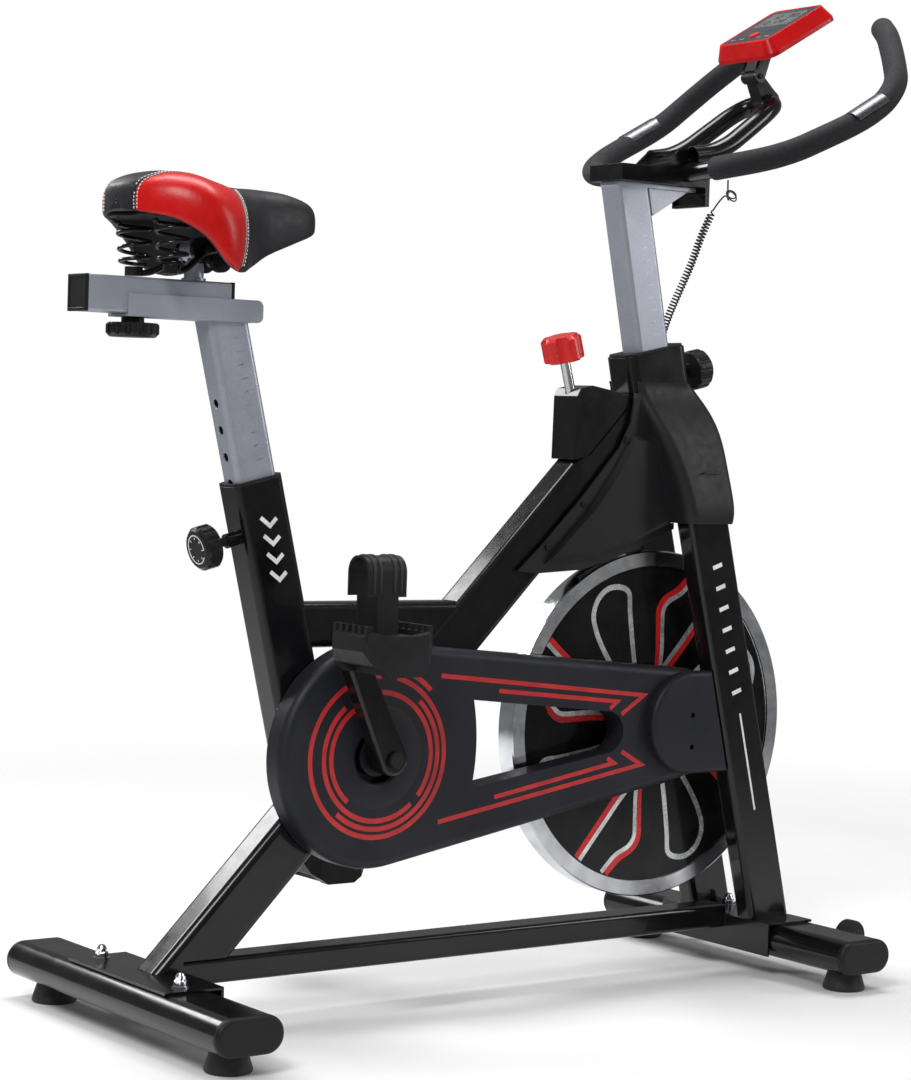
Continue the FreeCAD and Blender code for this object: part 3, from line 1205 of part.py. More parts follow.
# --------------------------------------------------------------------- leads
COIL_POINTS = [(727, -50, 923), (716, -42, 893), (706, -28, 857), (699, -12, 820), (702, 4, 788),
               (704, 12, 767)]
LEAD_POINTS = [(699, -104, 951.5), (700, -103, 940), (709, -94, 931), (722, -80, 930),
               (731, -67, 938), (733, -56, 936), (727, -50, 923)]


def make_leads():
    wire, radii = path(COIL_POINTS)
    print("coil radii", [round(r) for r in radii], "length", round(wire.Length))
    add("coil_cord", pipe(COIL_POINTS, 4.5))
    wire, radii = path(LEAD_POINTS)
    print("lead radii", [round(r) for r in radii], "length", round(wire.Length))
    add("sensor_lead", pipe(LEAD_POINTS, 1.25))


# ------------------------------------------------------------------ assembly
def main():
    for step in (make_stabilisers, make_feet, make_base, make_main_tube, make_seat_tube,
                 make_brace, make_head, make_crown, make_fork, make_bottom_bracket,
                 make_bb_axle, make_big_pulley, make_small_pulley, make_belt, make_flywheel,
                 make_axle, make_cranks, make_cover, make_hub_cap, make_shells, make_screws,
                 make_bolts, make_wheels, make_bushings, make_seat_post, make_slider,
                 make_saddle, make_saddle_top, make_knobs, make_handlebar_post, make_bracket,
                 make_bars, make_loop, make_console, make_stem, make_brake, make_leads):
        step()
    make_pedal("pedal_near", -1)
    make_pedal("pedal_far", 1)
    os.makedirs("parts", exist_ok=True)
    for name, shape in PARTS.items():
        if not shape.isValid():
            print("invalid", name)
        shape.translate(V(-ORIGIN_X, 0, 0))
        shape.exportStep("parts/%s.step" % name)
    print(len(PARTS), "parts")


main()
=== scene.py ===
"""Indoor spin bike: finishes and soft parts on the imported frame."""
import json
import math

import bpy
import numpy as np
from mathutils import Matrix, Vector


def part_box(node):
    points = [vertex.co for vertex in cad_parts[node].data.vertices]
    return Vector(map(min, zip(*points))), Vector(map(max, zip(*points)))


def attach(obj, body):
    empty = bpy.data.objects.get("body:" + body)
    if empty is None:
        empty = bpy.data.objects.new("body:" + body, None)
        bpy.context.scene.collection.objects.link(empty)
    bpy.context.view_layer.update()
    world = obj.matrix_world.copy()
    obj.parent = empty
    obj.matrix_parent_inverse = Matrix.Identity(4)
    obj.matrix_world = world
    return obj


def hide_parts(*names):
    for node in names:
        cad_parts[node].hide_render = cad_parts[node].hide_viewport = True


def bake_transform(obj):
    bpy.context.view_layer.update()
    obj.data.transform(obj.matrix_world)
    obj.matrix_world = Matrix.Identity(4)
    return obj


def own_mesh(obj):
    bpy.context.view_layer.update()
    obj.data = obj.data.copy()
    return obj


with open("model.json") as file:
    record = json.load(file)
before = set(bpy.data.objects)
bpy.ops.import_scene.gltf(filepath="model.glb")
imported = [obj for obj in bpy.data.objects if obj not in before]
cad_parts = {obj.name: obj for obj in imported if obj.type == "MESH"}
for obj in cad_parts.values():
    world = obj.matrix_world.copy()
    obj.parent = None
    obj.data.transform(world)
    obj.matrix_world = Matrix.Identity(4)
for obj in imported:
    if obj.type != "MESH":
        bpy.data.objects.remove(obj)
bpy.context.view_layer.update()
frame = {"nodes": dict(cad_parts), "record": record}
NODES = frame["nodes"]
REAR_LOW, REAR_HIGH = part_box("rear_stabiliser")
X0 = (REAR_LOW[0] + REAR_HIGH[0]) / 2

# places in millimetres, X counted from the rear stabiliser's middle
BB = (262.0, 290.0)
HUB = (686.0, 305.0)
CRANK_LENGTH, CRANK_ANGLE = 150.0, 25.0
SEAT_POINT, SEAT_ANGLE = (124.0, 579.3), 14.0
HEAD_POINT, HEAD_ANGLE = (670.6, 750.7), 12.2
LEG_POINT, LEG_ANGLE = (844.9, 65.3), 14.06
BRAKE_TOP, BRAKE_ANGLE = (543.5, 750.0), 16.0
CONSOLE_CENTRE, CONSOLE_ANGLE = (857.0, 1148.0), 30.0
SIDES = (("near", -1), ("far", 1))


def at(x, y, z):
    """Point given in millimetres, X counted from the rear stabiliser's middle."""
    return Vector((x / 1000 + X0, y / 1000, z / 1000))


def along(point, angle, distance):
    """Point at a distance up a line that leans back by an angle in degrees."""
    a = math.radians(angle)
    return point[0] - math.sin(a) * distance, point[1] + math.cos(a) * distance


# -------------------------------------------------------------------- camera
CAMERA_PLACE = (-1427.69, -2494.39, 661.27)
CAMERA_TURN = (36.202, -2.5216, 1.8502)
CAMERA_LENS = 90.55


def make_camera():
    """Camera at the viewing angle, turned by yaw, pitch and roll."""
    yaw, pitch, roll = (math.radians(a) for a in CAMERA_TURN)
    ahead = Vector((math.sin(yaw) * math.cos(pitch), math.cos(yaw) * math.cos(pitch),
                    math.sin(pitch)))
    right0 = Vector((math.cos(yaw), -math.sin(yaw), 0))
    up0 = right0.cross(ahead)
    right = right0 * math.cos(roll) + up0 * math.sin(roll)
    up = up0 * math.cos(roll) - right0 * math.sin(roll)
    turn = Matrix((right, up, -ahead)).transposed().to_4x4()
    data = bpy.data.cameras.new("Camera")
    data.sensor_width = 36.0
    data.lens = CAMERA_LENS
    camera = bpy.data.objects.new("Camera", data)
    camera.matrix_world = Matrix.Translation(at(*CAMERA_PLACE)) @ turn
    bpy.context.scene.collection.objects.link(camera)
    bpy.context.scene.camera = camera


make_camera()


# -------------------------------------------------------------- mesh helpers
def mesh_piece(name, verts, faces, materials, body, smooth=True):
    """New mesh object from points in metres, riding on a body."""
    mesh = bpy.data.meshes.new(name)
    mesh.from_pydata([tuple(v) for v in verts], [], faces)
    mesh.update()
    for material in materials:
        mesh.materials.append(material)
    mesh.polygons.foreach_set("use_smooth", [smooth] * len(mesh.polygons))
    piece = bpy.data.objects.new(name, mesh)
    bpy.context.scene.collection.objects.link(piece)
    if body:
        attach(piece, body)
    return piece


class Build:
    """Collects points and faces of many small shapes into one mesh."""

    def __init__(self):
        self.verts, self.faces = [], []

    def add(self, verts, faces):
        base = len(self.verts)
        self.verts += [Vector(v) for v in verts]
        self.faces += [tuple(base + i for i in face) for face in faces]

    def tube(self, points, radius, sides):
        """Round wire through points, closed at both ends."""
        points = [Vector(p) for p in points]
        normal = None
        verts = []
        for i, p in enumerate(points):
            ahead = points[min(i + 1, len(points) - 1)] - points[max(i - 1, 0)]
            ahead.normalize()
            if normal is None:
                normal = ahead.orthogonal()
            normal = (normal - ahead * normal.dot(ahead)).normalized()
            other = ahead.cross(normal)
            for k in range(sides):
                a = 2 * math.pi * k / sides
                verts.append(p + normal * (math.cos(a) * radius) + other * (math.sin(a) * radius))
        faces = []
        for i in range(len(points) - 1):
            for k in range(sides):
                a, b = i * sides + k, i * sides + (k + 1) % sides
                faces.append((a, b, b + sides, a + sides))
        faces.append(tuple(reversed(range(sides))))
        faces.append(tuple(range((len(points) - 1) * sides, len(points) * sides)))
        self.add(verts, faces)

    def slab(self, outline, thickness):
        """Thin plate on an outline of points in order, thickness is a vector."""
        n = len(outline)
        verts = [Vector(p) for p in outline] + [Vector(p) + thickness for p in outline]
        faces = [tuple(range(n)), tuple(reversed(range(n, 2 * n)))]
        faces += [(i, i + n, (i + 1) % n + n, (i + 1) % n) for i in range(n)]
        self.add(verts, faces)

    def stroke(self, line, width, place, thickness, closed=False):
        """Printed line of even width on a flat face; place turns (a, b) into a point."""
        pts = [Vector(p) for p in line]
        n = len(pts)
        left, right = [], []
        for i, p in enumerate(pts):
            before = pts[i - 1] if i or closed else None
            after = pts[(i + 1) % n] if i < n - 1 or closed else None
            u = (p - before).normalized() if before is not None else (after - p).normalized()
            w = (after - p).normalized() if after is not None else u
            middle = Vector((-(u.y + w.y), u.x + w.x)).normalized()
            reach = width / 2 / max(0.35, middle.dot(Vector((-u.y, u.x))))
            left.append(place(*(p + middle * reach)))
            right.append(place(*(p - middle * reach)))
        last = n if closed else n - 1
        for i in range(last):
            j = (i + 1) % n
            self.slab([left[i], left[j], right[j], right[i]], thickness)

    def piece(self, name, finish, body, smooth=False, slot=None):
        """Piece with one finish; its slot has the finish's name, and the slot argument is not
        used.
        """
        return mesh_piece(name, self.verts, self.faces, [MAT[finish]], body, smooth)


def arc(centre, radius, start, end, steps=40):
    """Points of a circular arc, angles in degrees."""
    angles = [math.radians(start + (end - start) * i / steps) for i in range(steps + 1)]
    return [(centre[0] + radius * math.cos(a), centre[1] + radius * math.sin(a)) for a in angles]


# ----------------------------------------------------------------- materials
class Shade:
    """One Principled material fed by procedural nodes in object space."""

    def __init__(self, name, roughness=0.5, metallic=0.0, coat=0.0, coat_roughness=0.05,
                 sheen=0.0, specular=0.5):
        self.material = bpy.data.materials.new(name)
        self.material.use_nodes = True
        self.tree = self.material.node_tree
        self.shader = self.tree.nodes["Principled BSDF"]
        self.shader.inputs["Roughness"].default_value = roughness
        self.shader.inputs["Metallic"].default_value = metallic
        self.shader.inputs["Coat Weight"].default_value = coat
        self.shader.inputs["Coat Roughness"].default_value = coat_roughness
        self.shader.inputs["Sheen Weight"].default_value = sheen
        self.shader.inputs["Specular IOR Level"].default_value = specular
        self.space = self.tree.nodes.new("ShaderNodeTexCoord").outputs["Object"]
        self.normal = None

    def node(self, kind, **values):
        node = self.tree.nodes.new(kind)
        for key, value in values.items():
            if hasattr(node, key):
                setattr(node, key, value)
            else:
                node.inputs[key.replace("_", " ").title()].default_value = value
        return node

    def link(self, source, target):
        self.tree.links.new(source, target)

    def noise(self, scale, detail=3.0, stretch=None):
        node = self.node("ShaderNodeTexNoise", Scale=scale, Detail=detail)
        space = self.space
        if stretch:
            mapping = self.node("ShaderNodeMapping", Scale=stretch)
            self.link(space, mapping.inputs["Vector"])
            space = mapping.outputs["Vector"]
        self.link(space, node.inputs["Vector"])
        return node.outputs["Fac"]

    def cells(self, scale):
        node = self.node("ShaderNodeTexVoronoi", Scale=scale)
        self.link(self.space, node.inputs["Vector"])
        return node.outputs["Distance"]

    def ramp(self, fac, stops):
        node = self.node("ShaderNodeValToRGB")
        elements = node.color_ramp.elements
        while len(elements) < len(stops):
            elements.new(0.5)
        for element, (position, colour) in zip(elements, stops):
            element.position = position
            element.color = (*colour, 1.0)
        self.link(fac, node.inputs["Fac"])
        return node.outputs["Color"]

    def colour(self, fac, low, high, a=0.35, b=0.65):
        self.link(self.ramp(fac, [(a, low), (b, high)]), self.shader.inputs["Base Color"])

    def spread(self, fac, low, high):
        node = self.node("ShaderNodeMapRange")
        for key, value in (("From Min", 0.3), ("From Max", 0.7), ("To Min", low),
                           ("To Max", high)):
            node.inputs[key].default_value = value
        self.link(fac, node.inputs["Value"])
        return node.outputs["Result"]

    def roughness(self, fac, low, high):
        self.link(self.spread(fac, low, high), self.shader.inputs["Roughness"])

    def bump(self, height, distance, strength=1.0):
        node = self.node("ShaderNodeBump", Strength=strength, Distance=distance)
        self.link(height, node.inputs["Height"])
        if self.normal:
            self.link(self.normal, node.inputs["Normal"])
        self.normal = node.outputs["Normal"]
        self.link(self.normal, self.shader.inputs["Normal"])

    def soft_edges(self, radius):
        node = self.node("ShaderNodeBevel", samples=4, Radius=radius)
        self.normal = node.outputs["Normal"]
        self.link(self.normal, self.shader.inputs["Normal"])

    def maths(self, operation, a, b=None):
        node = self.node("ShaderNodeMath", operation=operation)
        for socket, value in zip(node.inputs, (a, b)):
            if value is None:
                continue
            if isinstance(value, (int, float)):
                socket.default_value = value
            else:
                self.link(value, socket)
        return node.outputs["Value"]


def gloss_paint(name, low, high, rough=(0.14, 0.24)):
    """Powder-coated steel or gloss plastic with a faint orange peel."""
    s = Shade(name, coat=0.2, specular=0.28)
    s.soft_edges(0.0012)
    s.colour(s.noise(22, 4), low, high)
    s.roughness(s.noise(60, 5), *rough)
    s.bump(s.noise(420, 2), 0.00012, 0.25)
    return s.material


def satin_metal_paint(name, low, high):
    """Silver-grey paint with metal flake."""
    s = Shade(name, metallic=0.55, coat=0.25, coat_roughness=0.2)
    s.soft_edges(0.0012)
    s.colour(s.noise(900, 2), low, high, 0.3, 0.7)
    s.roughness(s.noise(40, 5), 0.3, 0.42)
    s.bump(s.noise(1500, 2), 0.00006, 0.4)
    return s.material


def polished(name, low, high):
    """Chrome plating."""
    s = Shade(name, metallic=1.0)
    s.colour(s.noise(30, 4), low, high)
    s.roughness(s.noise(70, 5), 0.05, 0.14)
    s.bump(s.noise(260, 2), 0.00005, 0.2)
    return s.material


def brushed(name, low, high):
    """Bare metal with a fine grain across the bike."""
    s = Shade(name, metallic=1.0)
    grain = s.noise(160, 4, (1, 30, 1))
    s.colour(grain, low, high)
    s.roughness(grain, 0.25, 0.42)
    s.bump(grain, 0.00006, 0.4)
    return s.material


def moulded(name, low, high, rough=(0.42, 0.55), grain=1500, coat=0.0):
    """Injection-moulded plastic with a fine spark-eroded texture."""
    s = Shade(name, coat=coat, specular=0.25)
    s.soft_edges(0.001)
    s.colour(s.noise(14, 5), low, high)
    s.roughness(s.noise(90, 4), *rough)
    s.bump(s.cells(grain), 0.00012, 0.5)
    return s.material


def rubbery(name, low, high, grain=700, depth=0.0002):
    """Matt rubber, mottled and slightly rough."""
    s = Shade(name, sheen=0.1)
    s.colour(s.noise(25, 5), low, high)
    s.roughness(s.noise(120, 4), 0.62, 0.8)
    s.bump(s.noise(grain, 4), depth, 0.6)
    return s.material


def foam_skin(name, low, high):
    """Closed-cell foam sleeve with small pores and soft waves."""
    s = Shade(name, sheen=0.04, specular=0.2)
    s.colour(s.noise(500, 4), low, high)
    s.roughness(s.noise(200, 3), 0.62, 0.78)
    s.bump(s.cells(1300), 0.0003, 0.5)
    s.bump(s.noise(60, 3), 0.0006, 0.35)
    return s.material


def vinyl(name, low, high, rough, coat=0.0):
    """Synthetic leather: fine pebble grain with slow tone changes."""
    s = Shade(name, coat=coat, coat_roughness=0.18, specular=0.25)
    s.colour(s.noise(18, 5), low, high)
    s.roughness(s.noise(110, 4), *rough)
    s.bump(s.cells(900), 0.00022, 0.55)
    s.bump(s.noise(300, 3), 0.0002, 0.3)
    return s.material


def thread(name):
    """Twisted white sewing thread."""
    s = Shade(name, sheen=0.3)
    twist = s.noise(2200, 2, (1, 4, 1))
    s.colour(twist, (0.62, 0.62, 0.6), (0.9, 0.9, 0.87))
    s.roughness(twist, 0.6, 0.8)
    s.bump(twist, 0.0001, 0.6)
    return s.material


def printed(name, low, high, rough=(0.3, 0.45), metallic=0.0):
    """Ink or foil of a printed decal."""
    s = Shade(name, metallic=metallic)
    s.colour(s.noise(45, 4), low, high)
    s.roughness(s.noise(200, 3), *rough)
    s.bump(s.noise(900, 2), 0.00004, 0.3)
    return s.material


RIM_INNER = 0.1896  # metres, where the flywheel's chrome rim starts


def flywheel_finish(name):
    """Machined chrome rim round a gloss black face, split by radius about the hub."""
    s = Shade(name, coat=0.05, specular=0.2)
    low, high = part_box("flywheel")
    hub = ((low[0] + high[0]) / 2, (low[2] + high[2]) / 2)
    split = s.node("ShaderNodeSeparateXYZ")
    s.link(s.space, split.inputs["Vector"])
    dx = s.maths("SUBTRACT", split.outputs["X"], hub[0])
    dz = s.maths("SUBTRACT", split.outputs["Z"], hub[1])
    radius = s.maths("SQRT", s.maths("ADD", s.maths("MULTIPLY", dx, dx),
                                     s.maths("MULTIPLY", dz, dz)))
    rim = s.maths("GREATER_THAN", radius, RIM_INNER)
    s.link(rim, s.shader.inputs["Metallic"])
    black = s.ramp(s.noise(30, 4), [(0.35, (0.004, 0.004, 0.005)), (0.65, (0.009, 0.009, 0.01))])
    chrome = s.ramp(s.noise(40, 4), [(0.3, (0.55, 0.56, 0.6)), (0.7, (0.78, 0.79, 0.82))])
    mix = s.node("ShaderNodeMix", data_type="RGBA")
    s.link(rim, mix.inputs["Factor"])
    s.link(black, mix.inputs[6])
    s.link(chrome, mix.inputs[7])
    s.link(mix.outputs[2], s.shader.inputs["Base Color"])
    turned = s.maths("SINE", s.maths("MULTIPLY", radius, 9000.0))
    rough = s.maths("ADD", s.maths("MULTIPLY", turned, 0.02), s.spread(s.noise(80), 0.1, 0.18))
    s.link(rough, s.shader.inputs["Roughness"])
    s.bump(s.maths("MULTIPLY", turned, rim), 0.00003, 0.5)
    return s.material


def console_finish(name):
    """Red case and black hinge lugs below it, split at the underside of the case."""
    s = Shade(name, coat=0.05, coat_roughness=0.15, specular=0.2)
    s.soft_edges(0.0012)
    split = s.node("ShaderNodeSeparateXYZ")
    s.link(s.space, split.inputs["Vector"])
    t = math.radians(CONSOLE_ANGLE)
    centre = at(CONSOLE_CENTRE[0], 0, CONSOLE_CENTRE[1])
    level = -math.sin(t) * centre.x + math.cos(t) * centre.z - 0.0112
    lift = s.maths("ADD", s.maths("MULTIPLY", split.outputs["X"], -math.sin(t)),
                   s.maths("MULTIPLY", split.outputs["Z"], math.cos(t)))
    above = s.maths("GREATER_THAN", lift, level)
    red = s.ramp(s.noise(22, 4), [(0.35, (0.44, 0.002, 0.003)), (0.65, (0.56, 0.004, 0.005))])
    black = s.ramp(s.noise(22, 4), [(0.35, (0.01, 0.01, 0.011)), (0.65, (0.017, 0.017, 0.018))])
    mix = s.node("ShaderNodeMix", data_type="RGBA")
    s.link(above, mix.inputs["Factor"])
    s.link(black, mix.inputs[6])
    s.link(red, mix.inputs[7])
    s.link(mix.outputs[2], s.shader.inputs["Base Color"])
    s.roughness(s.noise(60, 5), 0.26, 0.36)
    s.bump(s.noise(420, 2), 0.00012, 0.25)
    return s.material


MAT = {
    "frame_paint": gloss_paint("FramePaint", (0.0030, 0.0030, 0.0036), (0.006, 0.006, 0.007)),
    "post_paint": satin_metal_paint("PostPaint", (0.34, 0.35, 0.42), (0.44, 0.46, 0.53)),
    "chrome": polished("Chrome", (0.62, 0.63, 0.66), (0.85, 0.85, 0.87)),
    "sensor_plate": brushed("SensorPlate", (0.09, 0.09, 0.10), (0.20, 0.20, 0.21)),
    "steel": brushed("Steel", (0.42, 0.42, 0.44), (0.6, 0.6, 0.62)),
    "flywheel_face": flywheel_finish("FlywheelFinish"),
    "cover_plastic": moulded("CoverPlastic", (0.009, 0.0095, 0.014), (0.014, 0.0145, 0.020),
                             (0.42, 0.52)),
    "shell_plastic": moulded("ShellPlastic", (0.009, 0.009, 0.010), (0.014, 0.014, 0.016),
                             (0.4, 0.52)),
    "cap_plastic": moulded("CapPlastic", (0.006, 0.006, 0.007), (0.010, 0.010, 0.011)),
    "knob_plastic": moulded("KnobPlastic", (0.005, 0.005, 0.006), (0.009, 0.009, 0.010),
                            (0.3, 0.42)),
    "knob_red": moulded("KnobRed", (0.52, 0.012, 0.012), (0.66, 0.02, 0.02), (0.22, 0.34),
                        coat=0.3),
    "console_red": console_finish("ConsoleRed"),
    "console_face": gloss_paint("ConsoleFace", (0.028, 0.030, 0.034), (0.045, 0.047, 0.052),
                                (0.28, 0.38)),
    "pedal_resin": moulded("PedalResin", (0.008, 0.008, 0.009), (0.014, 0.014, 0.016),
                           (0.38, 0.52), 1100),
    "rubber": rubbery("Rubber", (0.010, 0.010, 0.010), (0.019, 0.019, 0.019)),
    "foam": foam_skin("Foam", (0.011, 0.011, 0.013), (0.019, 0.019, 0.022)),
    "saddle_black": vinyl("SaddleBlack", (0.010, 0.010, 0.012), (0.017, 0.017, 0.020),
                          (0.38, 0.5)),
    "saddle_red": vinyl("SaddleRed", (0.44, 0.003, 0.003), (0.58, 0.006, 0.006), (0.26, 0.38),
                        0.12),
    "stitching": thread("Stitching"),
    "spring_black": gloss_paint("SpringBlack", (0.006, 0.006, 0.006), (0.012, 0.012, 0.012),
                                (0.15, 0.25)),
    "cord_black": rubbery("CordBlack", (0.008, 0.008, 0.008), (0.015, 0.015, 0.015), 1500,
                          0.00008),
    "decal_red": printed("DecalRed", (0.40, 0.012, 0.014), (0.50, 0.02, 0.022)),
    "decal_white": printed("DecalWhite", (0.70, 0.70, 0.70), (0.86, 0.86, 0.86)),
    "decal_silver": printed("DecalSilver", (0.42, 0.44, 0.44), (0.82, 0.83, 0.83), (0.2, 0.3),
                            0.6),
    "lcd": printed("LcdGlass", (0.10, 0.115, 0.11), (0.14, 0.155, 0.15), (0.12, 0.2)),
    "lcd_ink": printed("LcdInk", (0.012, 0.014, 0.014), (0.02, 0.022, 0.022)),
}


def paint_cad_nodes():
    """Finish of each CAD node by its slot in the record; the hand plates are darker."""
    slots = {part["node"]: part["material_slot"] for part in frame["record"]["subparts"]}
    slots["pulse_sensors"] = "sensor_plate"
    for name, node in NODES.items():
        material = MAT[slots[name]]
        if not node.material_slots:
            node.data.materials.append(material)
        for slot in node.material_slots:
            slot.material = material


# --------------------------------------------------------------------- cords
COIL_ROUTE = [(727, -50, 923), (716, -42, 893), (712, -30, 857), (706, -13, 820),
              (704, 4, 788), (704, 12, 767)]
LEAD_ROUTE = [(699, -104, 951.5), (700, -103, 940), (709, -94, 931), (722, -80, 930),
              (731, -67, 938), (733, -56, 936), (727, -50, 923)]
# metres; then points in each turn, and points over which the coil opens and closes
WIRE, COIL_RADIUS, COIL_PITCH = 0.0020, 0.0040, 0.0040
TURN_STEPS, EASE_STEPS = 14, 40


def route_points(name, route):
    """Points of the smooth curve that a route's control points give."""
    curve = bpy.data.curves.new(name, "CURVE")
    curve.dimensions = "3D"
    curve.resolution_u = 24
    spline = curve.splines.new("NURBS")
    spline.points.add(len(route) - 1)
    for point, place in zip(spline.points, route):
        point.co = (*at(*place), 1.0)
    spline.order_u = 3
    spline.use_endpoint_u = True
    helper = bpy.data.objects.new(name, curve)
    bpy.context.scene.collection.objects.link(helper)
    mesh = bpy.data.meshes.new_from_object(helper)
    points = [v.co.copy() for v in mesh.vertices]
    bpy.data.objects.remove(helper)
    bpy.data.meshes.remove(mesh)
    bpy.data.curves.remove(curve)
    return points


def resample(points, step):
    """Points at even steps along a line."""
    steps = [(b - a).length for a, b in zip(points, points[1:])]
    lengths = np.concatenate([[0.0], np.cumsum(steps)])
    count = max(2, int(round(lengths[-1] / step)) + 1)
    wanted = np.linspace(0, lengths[-1], count)
    table = np.array([list(p) for p in points])
    return [Vector([np.interp(w, lengths, table[:, k]) for k in range(3)]) for w in wanted]


def make_tie_loops():
    """Small loops of spare lead tied up under the near grip and the console."""
    build = Build()
    for cx, cy, cz, r, tilt in ((716, -93, 934, 7.0, 0.3), (728, -78, 938, 6.0, -0.5)):
        loop = []
        for k in range(25):
            a = 2 * math.pi * k / 24
            loop.append(at(cx + r * math.cos(a), cy + 3 * math.sin(a + tilt),
                           cz + r * 0.8 * math.sin(a)))
        build.tube(loop, 0.0009, 6)
    return build.piece("LeadTies", "cord_black", "bar_column", True)


def make_cord():
    """Thin lead from the grip that winds into a curly cord down to the frame."""
    straight = resample(route_points("LeadRoute", LEAD_ROUTE), 0.0015)
    middle = resample(route_points("CoilRoute", COIL_ROUTE), COIL_PITCH / TURN_STEPS)
    ahead = (middle[1] - middle[0]).normalized()
    normal = ahead.orthogonal()
    coil, turn = [], 0.0
    count = len(middle)
    for i, p in enumerate(middle):
        ahead = (middle[min(i + 1, count - 1)] - middle[max(i - 1, 0)]).normalized()
        normal = (normal - ahead * normal.dot(ahead)).normalized()
        ease = min(1.0, i / EASE_STEPS, (count - 1 - i) / EASE_STEPS)
        turn += 2 * math.pi / TURN_STEPS * ease
        radius = COIL_RADIUS * ease * ease * (3 - 2 * ease)
        coil.append(p + (normal * math.cos(turn) + ahead.cross(normal) * math.sin(turn)) * radius)
    line = straight + coil[1:]
    build = Build()
    build.tube(line, WIRE / 2, 8)
    cord = build.piece("CurlyCord", "cord_black", None, True)
    ties = make_tie_loops()
    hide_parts("coil_cord", "sensor_lead")
    length = sum((b - a).length for a, b in zip(line, line[1:]))
    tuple(line[0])
    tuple(coil[-1])
    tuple(coil[0])
    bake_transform(cord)


make_cord()
paint_cad_nodes()


# -------------------------------------------------------------------- saddle
# stations along the saddle in mm: X, half width, lower rim, crest
STATIONS = [(-52.0, 0.0, 877.0, 884.0), (-51.0, 16.0, 868.5, 893.0), (-47.0, 36.0, 866.0, 898.0),
            (-40.0, 50.0, 864.0, 903.0), (-18.0, 74.0, 858.0, 910.0), (8.0, 91.0, 841.0, 911.0),
            (32.0, 95.0, 815.0, 906.5), (54.0, 86.0, 807.0, 902.5), (78.0, 64.0, 814.0, 900.0),
            (108.0, 46.0, 828.5, 900.5), (146.0, 37.0, 843.5, 898.5), (172.0, 29.0, 853.5, 892.0),
            (184.0, 17.0, 860.0, 885.0), (187.5, 0.0, 866.0, 876.0)]
# outline of a cross-section: share of the half width, share of the height
PROFILE = [(0.0, 1.0), (0.22, 0.995), (0.45, 0.97), (0.66, 0.91), (0.82, 0.80), (0.93, 0.65),
           (0.985, 0.48), (1.0, 0.32), (0.99, 0.15), (0.965, 0.04), (0.93, 0.0)]
# the rear seam's distance from the middle line at each X, and the front seam's X
SEAM_X = [-52.0, -45.0, -26.0, -4.0, 20.0, 42.0, 61.0]
SEAM_Y = [32.0, 34.0, 38.0, 40.0, 41.0, 37.0, 27.0]
SEAM_FRONT = 61.0
# roof of the hollow, and how far the padding stands above its seams
CAVITY_ROOF, PADDING = 867.0, 0.9


def smooth_table(values, count):
    """Even resampling of table rows along a smooth cubic through them."""
    rows = np.array(values, float)
    steps = np.sqrt(np.linalg.norm(np.diff(rows, axis=0), axis=1))
    knots = np.concatenate([[0.0], np.cumsum(steps)])
    slopes = np.gradient(rows, knots, axis=0)
    wanted = np.linspace(0, knots[-1], count)
    index = np.clip(np.searchsorted(knots, wanted, "right") - 1, 0, len(knots) - 2)
    span = (knots[index + 1] - knots[index])[:, None]
    t = ((wanted - knots[index])[:, None]) / span
    a, b = rows[index], rows[index + 1]
    ma, mb = slopes[index] * span, slopes[index + 1] * span
    return ((2 * t**3 - 3 * t**2 + 1) * a + (t**3 - 2 * t**2 + t) * ma
            + (-2 * t**3 + 3 * t**2) * b + (t**3 - t**2) * mb)


def seam_front(lift):
    """X of the front seam at a share of the side's height."""
    return SEAM_FRONT - 3.0 * (1 - lift) - 9.0 * (1 - lift) ** 3


def panel_distance(x, y, lift):
    """Signed distance in mm to the red side panel's edge, positive inside it."""
    side = abs(y) - np.interp(x, SEAM_X, SEAM_Y)
    return min(side, seam_front(lift) - x)


def skin_offset(x, y, lift):
    """How far the cover stands out: padded panels with sunken seams."""
    d = abs(panel_distance(x, y, lift))
    return PADDING * (1 - math.exp(-(d / 9.0) ** 2) - math.exp(-(d / 1.3) ** 2))


def saddle_loop(station, profile):
    """Closed outline of the saddle at one station: the skin, then the hollow below it."""
    x, half, low, high = station
    side = [(half * share, low + (high - low) * lift, lift) for share, lift in profile]
    ring = [(-y, z, lift) for y, z, lift in reversed(side)] + side[1:]
    room = min(1.0, half / 20)
    loop = []
    for k, (y, z, lift) in enumerate(ring):
        a, b = ring[max(k - 1, 0)], ring[min(k + 1, len(ring) - 1)]
        out = Vector((0, -(b[1] - a[1]), b[0] - a[0]))
        out = out.normalized() if out.length > 1e-9 else Vector((0, 0, 1))
        push = (skin_offset(x, y, lift) - PADDING) * room
        loop.append(Vector((x, y, z)) + out * push)
    roof = max(CAVITY_ROOF, low + 1.5)
    inner = max(half * 0.93 - 7.0, half * 0.4)
    lip = [(inner + 3, low + 0.2), (inner, low + 3.0), (inner - 1, roof), (inner * 0.6, roof)]
    lip += [(-y, z) for y, z in reversed(lip)]
    return loop + [Vector((x, y, min(z, high - 3))) for y, z in lip]


